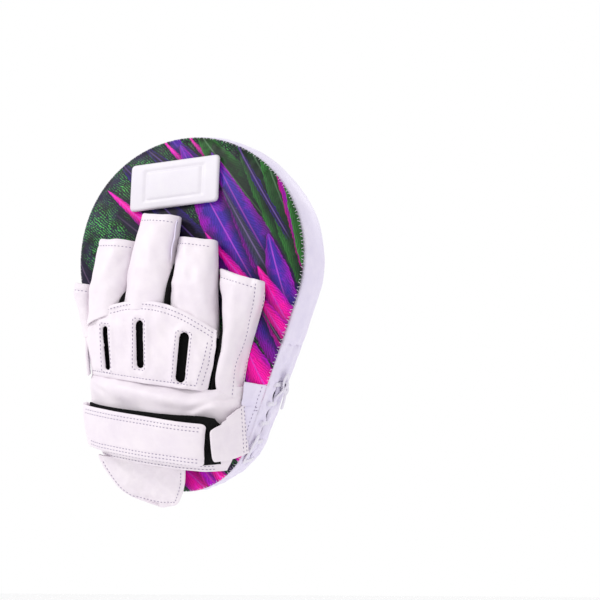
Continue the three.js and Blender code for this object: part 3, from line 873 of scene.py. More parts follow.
def make_badge():
    """A plain raised patch with a thin frame pressed into it."""
    width, height, corner = 76.6, 38.0, 4.0
    rows, columns = 40, 80
    a = np.linspace(-1, 1, columns)[None, :] * width / 2
    b = np.linspace(-1, 1, rows)[:, None] * height / 2
    a, b = np.broadcast_arrays(a, b)
    over_a = np.maximum(np.abs(a) - (width / 2 - corner), 0)
    over_b = np.maximum(np.abs(b) - (height / 2 - corner), 0)
    reach = np.maximum(over_a, over_b)
    size = np.hypot(over_a, over_b)
    squeeze = np.where(size > 1e-6, reach / np.maximum(size, 1e-6), 1.0)
    a2 = np.sign(a) * (np.minimum(np.abs(a), width / 2 - corner) + over_a * squeeze)
    b2 = np.sign(b) * (np.minimum(np.abs(b), height / 2 - corner) + over_b * squeeze)
    inset = (corner - np.hypot(np.maximum(np.abs(a2) - (width / 2 - corner), 0),
                               np.maximum(np.abs(b2) - (height / 2 - corner), 0)))
    edge = np.minimum(np.minimum(width / 2 - np.abs(a2), height / 2 - np.abs(b2)), inset)
    h = 1.1 + 2.7 * np.sqrt(np.clip(edge / 1.7, 0, 1) * (2 - np.clip(edge / 1.7, 0, 1)))
    line = bell((np.maximum(np.abs(a2) / 24.0, np.abs(b2) / 11.5) - 1) * 11.5, 0.8)
    h = h - 0.45 * line
    turn = math.radians(3)
    x = a2 * math.cos(turn) - b2 * math.sin(turn) - 5.4
    s = 98 + b2 * math.cos(turn) + a2 * math.sin(turn)
    P = on_pad(x, s, BACK + h)
    obj = from_grid("badge_patch_leather", P, GLOVE_OUT, badge_leather, 2.4)
    settle(obj, ROOT, "badge_patch", slot="white_leather")


# ---- the glove ----

# rows of the knuckle panel: its (p, h) points, its q, and how strongly the knuckle line bows it
KNUCKLE_ROWS = (
    ([(-68.5, 0.6), (-67.5, 10), (-57.5, 18), (-38, 23.2), (-14, 26),
      (16, 26.4), (37, 24.4), (47.0, 20)], 4.5, 1.0),
    ([(-70.5, 0.6), (-70, 9.5), (-61, 17.5), (-40, 23.6), (-14, 26.6),
      (17, 26.8), (38, 24.6), (48.2, 19.6)], -9.0, 0.62),
    ([(-71.5, 0.6), (-70.5, 9), (-62, 17), (-41, 23.2), (-14, 26.4),
      (17, 26.6), (38, 24.4), (48.4, 19)], -20.0, 0.3),
    ([(-66.5, 0.6), (-65, 8.8), (-56, 16.8), (-36, 22.8), (-10, 25.8),
      (18, 26.2), (38, 24), (46.6, 18.6)], -38.0, 0.1),
    ([(-62.5, 0.6), (-61, 8.6), (-51.5, 16.4), (-31, 22.6), (-6, 25.2),
      (20, 25.5), (37, 23.2), (44.0, 18.4)], -54.5, 0.0),
)


def bowed(p, q, bow):
    """Station q bent down towards both ends, as the knuckle line is."""
    return q - bow * KNUCKLE_BOW * (p - KNUCKLE_CENTRE) ** 2


def at_stations(table, stations, along):
    """table's rows at even steps from the first station to the last; stations fall along it."""
    order = np.linspace(stations[0], stations[-1], along)
    back = np.interp(-order, -stations, np.arange(len(stations)))
    low = np.floor(back).astype(int).clip(0, len(stations) - 2)
    t = (back - low)[:, None, None]
    return table[low] * (1 - t) + table[low + 1] * t


def section_sheet(rows, along, across):
    """(p, q, h) grids over rows of (points, q, bow), smooth both ways."""
    lines = np.array([evenly(catmull(points, 300), across) for points, _, _ in rows])
    q = np.array([[float(station)] * across for _, station, _ in rows])
    bow = np.array([[float(b)] * across for _, _, b in rows])
    grid = catmull(np.concatenate([lines, q[..., None], bow[..., None]], -1), 240)
    grid = at_stations(grid, grid[:, 0, 2], along)
    return grid[..., 0], bowed(grid[..., 0], grid[..., 2], grid[..., 3]), grid[..., 1]


def tube_rows(stations, rows):
    """left, right, top, lean and bow at evenly spaced q down a stall."""
    table = np.array(stations, float)
    q = np.linspace(table[0, 0], table[-1, 0], rows)
    return q, [np.interp(-q, -table[:, 0], table[:, k]) for k in range(1, 6)]


def stall_surface(stations, rows, around, shrink=0.0, relief=0.0, seed=1, extra=None):
    """An open-ended finger tube standing on the pad; shrink mm inside its leather."""
    q, (left, right, top, lean, bow) = tube_rows(stations, rows)
    angle = np.linspace(0, 2 * math.pi, around, endpoint=False)[None, :]
    c, sn = np.cos(angle), np.sin(angle)
    half = ((right - left) / 2)[:, None] - shrink
    mid = ((right + left) / 2)[:, None]
    floor = 0.7 + shrink
    middle_h = (top[:, None] + floor) / 2 - shrink / 2
    tall = middle_h - floor
    p = mid + half * squared(c, 0.8)
    h = middle_h + tall * np.where(sn > 0, squared(sn, 0.85), -np.abs(sn) ** 0.6)
    # the crown fills out above the middle
    h = h + np.where(sn > 0, 1.21 * np.sin(angle) ** 2, 0)
    q2 = np.broadcast_to(q[:, None], p.shape)
    if extra is not None:
        p, q2, h = extra(p, q2, h, angle)
    q3 = bowed(p, q2, bow[:, None]) + lean[:, None] * (p - mid)
    P = on_glove(p, q3, np.maximum(h, 0.5 + shrink))
    if relief:
        top_side = smooth((sn + 0.3) / 0.6)
        bumps = relief * (0.8 * waves(P, 34, seed, stretch=(1.3, 1, 0.8))
                          + 0.4 * waves(P, 14, seed + 1)) * top_side
        n = normals(P, (False, True))
        P = push(P, n * tube_sign(P, n), bumps)
    return P


def tube_sign(P, n):
    """1 where the normals n of a tube P point out of it, else -1."""
    centre = P.mean(axis=1, keepdims=True)
    return 1.0 if float(np.sum(n * (P - centre))) > 0 else -1.0


def closed_tube(name, outer, inner, material):
    """Outer and inner surfaces of a tube joined round its open tip and at its hidden root."""
    n = normals(outer, (False, True))
    if float(np.sum(n * (outer - outer.mean(axis=1, keepdims=True)))) < 0:
        outer, inner = outer[:, ::-1], inner[:, ::-1]
    steps = np.linspace(0, math.pi, 5)[1:-1]
    way = outer[0] - outer[1]
    way /= np.linalg.norm(way, axis=1, keepdims=True)
    centre, arm = (outer[0] + inner[0]) / 2, (outer[0] - inner[0]) / 2
    reach = np.linalg.norm(arm, axis=1, keepdims=True)
    tip = np.array([centre + arm * math.cos(a) + way * reach * math.sin(a) for a in steps])
    grid = np.concatenate([outer[::-1], tip, inner])
    obj = new_object(name, grid, grid_faces(*grid.shape[:2], (True, True)), material)
    return outward_faces(subdivided(obj))


def outward_faces(obj):
    """Turns a closed mesh's faces outwards by its signed volume."""
    obj.data.calc_loop_triangles()
    co = np.array([v.co for v in obj.data.vertices])
    tri = np.array([t.vertices for t in obj.data.loop_triangles])
    a, b, c = co[tri[:, 0]], co[tri[:, 1]], co[tri[:, 2]]
    if float(np.sum(np.cross(a, b) * c)) < 0:
        obj.data.flip_normals()
    return obj


# each stall: its stations from tip to root as (q, left, right, top, lean, bow), its hinge, how far the
# middle of its tip dips, and the seed of its creases
STALLS = {
    "pinky": {
        "stations": [
            (11, -85.6, -70.0, 13, 0.0, 0.0),
            (0, -82.2, -68.0, 14.5, 0.0, 0.0),
            (-12, -76.6, -64, 15, 0.0, 0.0),
            (-25, -71.4, -58, 13, 0.0, 0.15),
        ],
        "hinge": ((-75, -14), (-74, -24)),
        "dip": 0.5,
        "seed": 31,
    },
    "ring": {
        "stations": [
            (46.5, -70.8, -38.4, 14, 0.05, 0.0),
            (34, -70.2, -38.2, 17, 0.04, 0.0),
            (18, -68.8, -37.6, 20.5, 0.0, 0.5),
            (-3, -66.5, -38, 22, 0.0, 1.0),
        ],
        "hinge": ((-53, -4), (-53, -15)),
        "dip": 0.5,
        "seed": 41,
    },
    "middle": {
        "stations": [
            (68.5, -36.4, -5.0, 15, 0.03, 0.0),
            (50, -37, -3.0, 19, 0.0, 0.0),
            (28, -37.4, -0.8, 23, 0.0, 0.5),
            (-3, -36.4, 3.6, 25, 0.0, 1.0),
        ],
        "hinge": ((-16, 11), (-16, 0)),
        "dip": 1.6,
        "seed": 51,
    },
    "index": {
        "stations": [
            (54, -2.2, 29.6, 14, 0.0, 0.0),
            (40, -0.4, 33.4, 18, 0.0, 0.0),
            (20, 1.4, 38.4, 22, 0.0, 0.5),
            (-3, 4.2, 44.6, 24, 0.0, 1.0),
        ],
        "hinge": ((26, 4), (26, -7)),
        "dip": 0.5,
        "seed": 61,
    },
}


def stall_shape(tip, dip):
    """The sag and the hem of a stall's open tip, for stall_surface."""
    tip_q, left, right = tip[:3]
    width = right - left

    def shape(p, q, h, angle):
        down = tip_q - q
        sag = dip * np.cos(math.pi * (p - p.mean(axis=1, keepdims=True)) / width)
        q = q - sag * bell(down, 14) * smooth(np.sin(angle) + 0.5)
        # a fold pressed in 4.6 mm from the rim, with the edge rolled
        fold = dent(down - 4.6, 0.55, 1.0) - 0.5 * bell(down, 1.6)
        top = smooth((np.sin(angle) + 0.2) / 0.5)
        return p, q, h + fold * top

    return shape


def make_stalls():
    """The four finger stalls on the pad, each with a row of stitches along its hem."""
    for finger, made in STALLS.items():
        rows, around = 54, 88
        stations = made["stations"]
        shape = stall_shape(stations[0], made["dip"])
        outer = stall_surface(stations, rows, around, relief=0.55, seed=made["seed"], extra=shape)
        inner = stall_surface(stations, rows, around, shrink=1.7)
        obj = closed_tube(finger + "_stall_leather", outer, inner, white_leather)
        hinge = hinge_line(made["hinge"], 12.0)
        settle(obj, finger, finger + "_stall", slot="white_leather", blend=hinge)
        tip_q, left, right, _, lean, _ = stations[0]
        across = np.linspace(left + 1.5, right - 1.5, 12)
        sewing = Sewing(obj)
        sewing.row(*glove_rays([(p, tip_q - 5.0 + lean * (p - (left + right) / 2)) for p in across]))
        sewing.finish(finger + "_hem_thread", thread, finger, blend=hinge)


def make_seam_ridge():
    """The seam allowance that stands along the middle stall's thumb side."""
    q = np.linspace(67.2, 34, 60)
    p = np.interp(-q, [-68.5, -50, -28], [-4.4, -2.2, 0.0])
    top = np.interp(-q, [-68.5, -50, -28], [12.0, 15.6, 18.6])
    size = np.minimum(1.0, 0.12 + 2.2 * np.minimum(np.linspace(0, 1, 60) * 6, np.linspace(1, 0, 60) * 2.2))
    around = np.linspace(0, 2 * math.pi, 14, endpoint=False)
    wide = 0.75 * np.cos(around)[None, :] * size[:, None]
    tall = 2.1 * np.sin(around)[None, :] * size[:, None]
    ripple = 0.35 * np.sin(q / 2.6)[:, None]
    loops = on_glove(p[:, None] + wide + 0.55 * tall + ripple, q[:, None] + 0 * wide, top[:, None] + tall)
    ridge = strip("middle_stall_seam", loops, painted_shade_leather)
    hinge = hinge_line(STALLS["middle"]["hinge"], 12.0)
    settle(ridge, "middle", blend=hinge)


# rows of the thumb stall: its (p, h) points, its q, and the lean of that row
THUMB_ROWS = (
    ([(36.0, 0.7), (36.2, 7), (41, 11.6), (54, 14.0), (66, 12.8), (73.0, 8), (74.6, 0.7)],
     30.0, -0.16),
    ([(39.5, 0.7), (39.8, 9), (44.5, 14), (55.5, 16.4), (66.5, 14.0), (72.8, 8), (74.2, 0.7)],
     18.0, -0.12),
    ([(47, 0.7), (47, 11), (50.6, 17.5), (57.5, 19), (64.8, 14.5), (69, 7.5), (70.6, 0.7)],
     -4.0, -0.03),
    ([(50.5, 0.7), (50.4, 12), (52.6, 19.0), (57.5, 19.6), (62.2, 14.5), (65.2, 7), (66.6, 0.7)],
     -26.0, 0.0),
    ([(48.3, 0.7), (48.1, 11.5), (50.2, 18.4), (55.4, 18.2), (60.4, 13), (63.4, 6.0), (64.8, 0.7)],
     -48.0, 0.0),
    ([(48.3, 0.7), (48.1, 8), (50.2, 12.6), (56.0, 12.4), (61.0, 9), (64.4, 4.5), (65.8, 0.7)],
     -60.0, 0.0),
)

# the seam down the thumb's outer side, as (p, q)
THUMB_SEAM = ((71.0, 32), (70.0, 14), (66.6, -10), (62.2, -30), (60.6, -56))


def thumb_surface(rows, around, shrink=0.0, relief=0.0):
    """The thumb's tube, through the sections of THUMB_ROWS; shrink mm inside its leather."""
    sections = []
    for points, _, _ in THUMB_ROWS:
        arc = evenly(catmull(points, 300), around * 2 // 3)
        floor = evenly([arc[-1], arc[0]], around - around * 2 // 3 + 2)[1:-1]
        loop = np.concatenate([arc, floor])
        middle = loop.mean(axis=0)
        loop = middle + (loop - middle) * (1 - shrink / 10.5) if shrink else loop
        sections.append(loop)
    table = np.concatenate([np.array(sections),
                            np.array([[[q, lean]] * around for _, q, lean in THUMB_ROWS])], -1)
    fine = catmull(table, 240)
    grid = at_stations(fine, fine[:, 0, 2], rows)
    p, h = grid[..., 0], grid[..., 1]
    q = grid[..., 2] + grid[..., 3] * (p - 59)
    down = THUMB_ROWS[0][1] - grid[..., 2]
    up = smooth((h - 3) / 5)
    if not shrink:
        h = h + (dent(down - 4.6, 0.5, 1.0) - 0.5 * bell(down, 1.6)) * up
        # the seam that runs down the thumb's outer side
        seam = seam_gap(p, q, THUMB_SEAM)
        h = h + dent(seam, 0.5, 0.8) * up
    h = h + 4.2 * bell(down, 9) * smooth((p - 66) / 6)
    P = on_glove(p, q, np.maximum(h, 0.6 + shrink * 0.6))
    if relief:
        bumps = relief * (0.8 * waves(P, 30, 71) + 0.4 * waves(P, 13, 72)) * up
        n = normals(P, (False, True))
        P = push(P, n * tube_sign(P, n), bumps)
    return P


# two points down the thumb's middle, given as its hinge line
THUMB_BLEND = ((59, -42), (59, -57))


def make_thumb():
    """The thumb stall, with a double row down its outer seam."""
    obj = closed_tube("thumb_stall_leather", thumb_surface(66, 84, relief=0.5),
                      thumb_surface(66, 84, shrink=1.7), white_leather)
    hinge = hinge_line(THUMB_BLEND, 12.0)
    settle(obj, "thumb", "thumb_stall", slot="white_leather", blend=hinge)
    sewing = Sewing(obj)
    tip = [(p, 30 - 5.0 - 0.16 * (p - 59)) for p in np.linspace(38, 72, 10)]
    sewing.row(*glove_rays(tip))
    for aside in (-2.0, 2.2):
        line = [(p + aside, q - 5) for p, q in THUMB_SEAM]
        sewing.row(*glove_rays(line, side=0.35 if aside > 0 else 0.15))
    sewing.finish("thumb_thread", thread, "thumb", blend=hinge)


# each slot's end points and half width
VENTS = (
    ((-46.2, -20.0), (-41.0, -46.5), 2.2),
    ((-14.6, -13.5), (-10.8, -41.0), 2.9),
    ((24.3, -18.5), (24.0, -46.5), 3.6),
)


def knuckle_stitch_lines():
    """Rows just inside the knuckle line and round the panel's other edges."""
    for drop in (3.0, 6.4):
        yield [(p, float(bowed(p, 4.5, 1.0)) - drop) for p in np.linspace(-66, 45.5, 22)]
    yield [(45.2, -17), (45.4, -22), (43.8, -36), (41.0, -51)]
    yield [(42.2, -19), (42.4, -23), (40.8, -36), (38.0, -50.5)]
    yield [(p, -51.0) for p in np.linspace(-58, 38, 20)]
    for (p0, q0), (p1, q1), half in VENTS:
        out, up = half + 2.6, 4.2
        box = [(p0 - out, q0 + up), (p0 + out, q0 + up), (p1 + out, q1 - up), (p1 - out, q1 - up)]
        for corner, following in zip(box, box[1:] + box[:1]):
            yield [corner, following]


def make_knuckle():
    """The panel over the knuckles, with three slots cut through and its edges turned under."""
    rows, columns = 104, 214
    p, q, h = section_sheet(KNUCKLE_ROWS, rows, columns)
    up = smooth(h / 8)
    inset = bowed(p, 4.5, 1.0) - q
    h = h + dent(inset - 4.7, 0.45, 1.6) * up - 0.9 * bell(inset, 1.3)
    h = h + 0.8 * smooth((inset - 6) / 14) * up
    low = q + 54.5
    h = h + (dent(low - 3.4, 0.4, 1.3) - 0.8 * bell(low, 1.3)) * up
    edge = seam_gap(p, q, [(48.2, -10), (48.4, -20), (46.6, -38), (44.0, -54.5)])
    h = h + (dent(edge - 3.0, 0.4, 1.2)) * up
    gap = np.full(p.shape, 1e9)
    for a, b, half in VENTS:
        gap = np.minimum(gap, seam_gap(p, q, [a, b]) - half)
    h = h - 1.4 * bell(np.maximum(gap, 0), 1.2) + 0.8 * bell(gap - 3.8, 2.4)
    soft = 0.55 * waves(on_glove(p, q, h), 30, 81) + 0.3 * waves(on_glove(p, q, h), 13, 82)
    h = h + soft * up * smooth(gap / 6)
    grid = grid_faces(rows, columns, (False, False))
    mids_p = p.reshape(-1)[grid].mean(axis=1)
    mids_q = q.reshape(-1)[grid].mean(axis=1)
    hole = np.zeros(len(grid), bool)
    for a, b, half in VENTS:
        hole |= seam_gap(mids_p, mids_q, [a, b]) < half
    verts = snap_to_slots(p, q, h)
    obj = new_object("knuckle_panel_leather", verts, grid[~hole], white_leather)
    drop_loose(obj)
    face_out(obj, (0, -1, 0))
    subdivided(thickened(obj, 2.0))
    settle(obj, ROOT, "knuckle_panel", slot="white_leather")
    sewing = Sewing(obj)
    for line in knuckle_stitch_lines():
        sewing.row(*glove_rays(line))
    sewing.finish("knuckle_thread", thread, ROOT)


def snap_to_slots(p, q, h):
    """Moves the grid points nearest each slot's outline on to it, so that the cut runs smoothly."""
    p, q = p.copy(), q.copy()
    for first, last, half in VENTS:
        a, b = np.array(first), np.array(last)
        way = b - a
        t = np.clip(((p - a[0]) * way[0] + (q - a[1]) * way[1]) / (way @ way), 0, 1)
        dp, dq = p - a[0] - t * way[0], q - a[1] - t * way[1]
        size = np.maximum(np.hypot(dp, dq), 1e-6)
        pull = np.clip(1 - np.abs(size - half) / 0.6, 0, 1)
        aim = half + (size - half) * (1 - pull ** 0.5)
        p = np.where(pull > 0, a[0] + t * way[0] + dp / size * aim, p)
        q = np.where(pull > 0, a[1] + t * way[1] + dq / size * aim, q)
    return on_glove(p, q, np.maximum(h, 0.6))


def drop_loose(obj):
    """Takes out the vertices that no face uses."""
    bm = bmesh.new()
    bm.from_mesh(obj.data)
    bmesh.ops.delete(bm, geom=[v for v in bm.verts if not v.link_faces], context="VERTS")
    bm.to_mesh(obj.data)
    bm.free()


def face_out(obj, way):
    """Turns the faces so that they look towards way, on the whole."""
    total = sum((p.normal * p.area for p in obj.data.polygons), Vector())
    if total.dot(Vector(way)) < 0:
        obj.data.flip_normals()
    return obj


def strip(name, loops, material, subdivide=True):
    """A closed solid from loops of points, capped at both ends."""
    loops = np.asarray(loops)
    n, m = loops.shape[:2]
    faces = grid_faces(n, m, (False, True)).tolist()
    faces += [list(range(m)), list(range(n * m - 1, (n - 1) * m - 1, -1))]
    obj = new_object(name, loops, faces, material)
    outward_faces(obj)
    return subdivided(obj) if subdivide else obj


# black cloth fins in the gaps between the stalls, painted shade that darkens those gaps: its line as (p,
# q), with half widths and heights along it
GAP_SHADE_FINS = (
    ("ring_middle", [(-38.4, 13), (-37.8, 6), (-37.8, 0), (-38.4, -8)],
     (0.3, 1.8, 2.2, 1.2), (9, 16.5, 19.5, 20)),
    ("middle_index", [(-0.8, 34), (0.4, 20), (2.0, 9), (3.2, 2), (4.0, -6)],
     (0.3, 1.6, 2.2, 2.2, 1.2), (12, 18, 21.5, 23, 23)),
    ("index_thumb", [(46.2, 2), (48.4, -6), (49.8, -14), (49.6, -26), (47.8, -40), (45.8, -54)],
     (0.3, 1.8, 2.6, 2.6, 2.2, 1.3), (8, 13, 16.5, 17.5, 17.5, 17.5)),
)


def make_lining():
    """Black cloth seen through the knuckle slots, and black fins in the gaps between the stalls as painted
    shade.
    """
    rows, columns = 60, 110
    p, q, h = section_sheet(KNUCKLE_ROWS, rows, columns)
    p = -8 + (p + 8) * 0.93
    P = on_glove(p, q, np.maximum(h - 4.4, 0.9))
    dome = from_grid("vent_lining_cloth", P[7:-2], GLOVE_OUT, black_lining_and_gap_shade, 0.9, subdivide=0)
    settle(dome, ROOT, "vent_lining")
    for name, line, widths, heights in GAP_SHADE_FINS:
        path = catmull(np.column_stack([line, widths, heights]), 46)
        around = np.linspace(0, 2 * math.pi, 16, endpoint=False)
        loops = []
        for k in range(46):
            p0, q0, w, top = path[k]
            ahead = path[min(k + 1, 45), :2] - path[max(k - 1, 0), :2]
            side = np.array([ahead[1], -ahead[0]]) / np.linalg.norm(ahead)
            wide = squared(np.cos(around), 0.6) * max(w, 0.15)
            lift = (top + 0.9) / 2 + (top - 0.9) / 2 * squared(np.sin(around), 0.6)
            loops.append(on_glove(p0 + side[0] * wide, q0 + side[1] * wide, lift))
        fin = strip("gap_shade_fin_" + name, loops, black_lining_and_gap_shade, subdivide=False)
        settle(fin, ROOT)


# the wrist's section, as shares of its half width and of its height
WRIST_ARCH = ((-1, 0.02), (-0.96, 0.36), (-0.78, 0.68), (-0.44, 0.92), (0.02, 1.02), (0.44, 0.98),
              (0.72, 0.82), (0.87, 0.52), (0.96, 0.22), (1, 0.02))


def wrist_grid(table, rows, across):
    """(p, q, h) grids from (q, grow, left, right) rows of the arch over the wrist."""
    arch = evenly(catmull(WRIST_ARCH, 300), across)
    fine = catmull(np.array(table, float), 260)
    at = np.linspace(0, len(fine) - 1, rows)
    fine = np.stack([np.interp(at, np.arange(len(fine)), fine[:, k]) for k in range(4)], -1)
    q, grow, left, right = [fine[:, k][:, None] for k in range(4)]
    p = (left + right) / 2 + (right - left) / 2 * arch[None, :, 0]
    h = np.maximum(grow * arch[None, :, 1], 0.6)
    return p, q + 0 * p, h


def make_wrist():
    """The padded wrist panel and the hem band below it."""
    p, q, h = wrist_grid([(-53.0, 21.5, -61.5, 68.5), (-56.0, 23.4, -63, 68.0), (-62, 26.2, -64, 67.5),
                          (-70, 26.4, -63, 66.5), (-80, 25.8, -61.5, 64.6), (-90, 26.0, -58.5, 62.6),
                          (-100, 24.4, -56, 60.8)], 90, 150)
    q = q + (4.0 * smooth((p - 46) / 14) + 1.5 * smooth((-52 - p) / 10)) * smooth((q + 66) / 12)
    up = smooth(h / 12)
    roll = 1.8 * bell(q + 61.0 + 0.04 * p, 5.5) - 1.0 * bell(q + 70.5 - 0.02 * p, 4.2)
    folds = (-1.6 * bell(q + 64 - 0.45 * (p - 44), 2.6) * smooth((p - 26) / 16)
             + 1.0 * bell(q + 68 - 0.45 * (p - 44), 3.6) * smooth((p - 24) / 16)
             - 0.9 * bell(q + 66 + 0.3 * (p + 40), 2.4) * smooth((-34 - p) / 14))
    P = on_glove(p, q, h + (roll + folds) * up)
    soft = 0.55 * waves(P, 42, 91, stretch=(0.6, 1, 1.5)) + 0.28 * waves(P, 15, 92, stretch=(0.7, 1, 1.3))
    P = on_glove(p, q, h + (roll + folds + soft) * up)
    panel = from_grid("wrist_panel_leather", P, GLOVE_OUT, soft_leather, 4.0)
    settle(panel, ROOT, "wrist_panel", slot="white_leather")

    p, q, h = wrist_grid([(-98.5, 24.0, -56, 60.8), (-101, 24.4, -55.4, 60.2),
                          (-106, 23.0, -53.4, 58.4), (-111.5, 21.2, -50.8, 55.6),
                          (-113.2, 19.4, -50, 55)], 44, 150)
    up = smooth(h / 10)
    down = -q - 98.5
    h = (h + (0.9 * bell(down - 7.5, 4.2) + dent(down - 12.0, 0.35, 0.9)) * up
         + 0.3 * waves(on_glove(p, q, h), 22, 95) * up)
    P = on_glove(p, q, h)
    band = from_grid("wrist_hem_leather", P, GLOVE_OUT, white_leather, 2.6)
    settle(band, ROOT, "wrist_hem_band", slot="white_leather")
    sewing = Sewing(band)
    for level in (-108.6, -111.2):
        sewing.row(*glove_rays([(x, level) for x in np.linspace(-46, 50, 14)]))
    sewing.finish("wrist_hem_thread", thread, ROOT)


def make_gussets():
    """The flat pieces that join the hand part to the pad on either side."""
    rows, columns = 60, 50
    down = np.linspace(0, 1, rows)[:, None]
    across = np.linspace(0, 1, columns)[None, :]
    s = -54.5 - 45 * down - 3.5 * across * (1 - down)
    left = 60.0 + (s + 56) * 0.20
    right = edge_x(s) + 1.2
    x = left + (right - left) * across
    near = right - x
    bed = face_height(0.94 * (edge_x(s) - x), 0.0) - BACK + 0.75 - 0.9 * np.maximum(x - edge_x(s), 0)
    folds = (1.3 * bell(s + 68 - 0.10 * (x - 70), 2.2) - 1.1 * bell(s + 71.2 - 0.10 * (x - 70), 0.9)
             + 1.1 * bell(s + 86 - 0.55 * (x - 66), 2.2) - 0.9 * bell(s + 89.2 - 0.55 * (x - 66), 0.9))
    P = on_pad(x, s, BACK + bed)
    soft = 0.5 * waves(P, 20, 101, stretch=(1, 1, 1.4)) + 0.22 * waves(P, 9, 102)
    lift = (2.4 + folds + soft + 4.0 * (1 - across) ** 2) * smooth(near / 5.5)
    P = on_pad(x, s, BACK + bed + np.maximum(lift, 0) + 0.25)
    gusset = from_grid("thumb_gusset_leather", P, GLOVE_OUT, painted_shade_leather, 1.0)
    settle(gusset, ROOT, "thumb_gusset", slot="white_leather")
    sewing = Sewing(gusset)
    line_s = np.linspace(-58, -97, 40)
    line_x = edge_x(line_s) - 1.2
    rows_at = [(line_x, line_s)]
    for level in (-73.6, -75.8):
        across_x = np.linspace(63.5, 70.5, 20)
        rows_at.append((across_x, level + 0.10 * (across_x - 70)))
    for row_x, row_s in rows_at:
        far, near_points = on_pad(row_x, row_s, 80.0), on_pad(row_x, row_s, 20.0)
        way = near_points - far
        sewing.row(far, way / np.linalg.norm(way, axis=1, keepdims=True))
    sewing.finish("thumb_gusset_thread", thread, ROOT)

    q = np.linspace(-20.5, -55.5, 50)[:, None]
    t = np.linspace(0, 1, 24)[None, :]
    outer = np.interp(-q, [20.5, 34, 45, 55.5], [-73.6, -71.6, -70.2, -68.0])
    inner = np.interp(-q, [20.5, 55.5], [-70.0, -61.0])
    p = outer + (inner - outer) * t ** 1.3
    h = 0.8 + np.interp(-q, [20.5, 55.5], [11.0, 15.0]) * t ** 0.7
    P = on_glove(p, q, h + 0.35 * waves(on_glove(p, q, h), 18, 105))
    gusset = from_grid("pinky_gusset_leather", P, (-1.0, -1.0, 0.0), white_leather, 1.8)
    settle(gusset, ROOT, "pinky_gusset", slot="white_leather")


def edge_x(s):
    """x of the pad's thumb-side edge at each s."""
    u = np.linspace(0.0, PERIMETER / 2, 400)
    line = on_edge(u, 0.0, 0.0) * 1000
    line_s = (CURVE_RADIUS + BACK) * np.arcsin((line[:, 2] - PAD_MID_Z) / CURVE_RADIUS)
    return np.interp(s, line_s, line[:, 0])


# the strap's section over the wrist, as (p, h)
STRAP_ARCH = [(-65.8, 4.5), (-65.6, 12), (-55.5, 23.0), (-32, 30.2), (0, 34.4), (28, 35.2), (43, 33.2),
              (50.6, 30.2)]


def arch_grid(arch, rows, columns, top, bottom, ends=(0.0, 0.0), corner=5.0):
    """A band along an arch, q from top to bottom, with the corners at its ends rounded off."""
    path = evenly(catmull(arch, 400), columns)
    run = np.linspace(0, length_of(path), columns)
    v = np.linspace(0, 1, rows)[:, None]
    inset = np.zeros(columns)
    for end, distance in ((ends[0], run), (ends[1], run[-1] - run)):
        if end:
            over = np.clip(1 - distance / corner, 0, 1)
            inset = np.maximum(inset, corner * end * (1 - np.sqrt(1 - over ** 2)))
    p = path[None, :, 0] + 0 * v
    h = path[None, :, 1] + 0 * v
    q = (top - inset)[None, :] + (bottom - top + 2 * inset)[None, :] * v
    return p, q, h, run, v


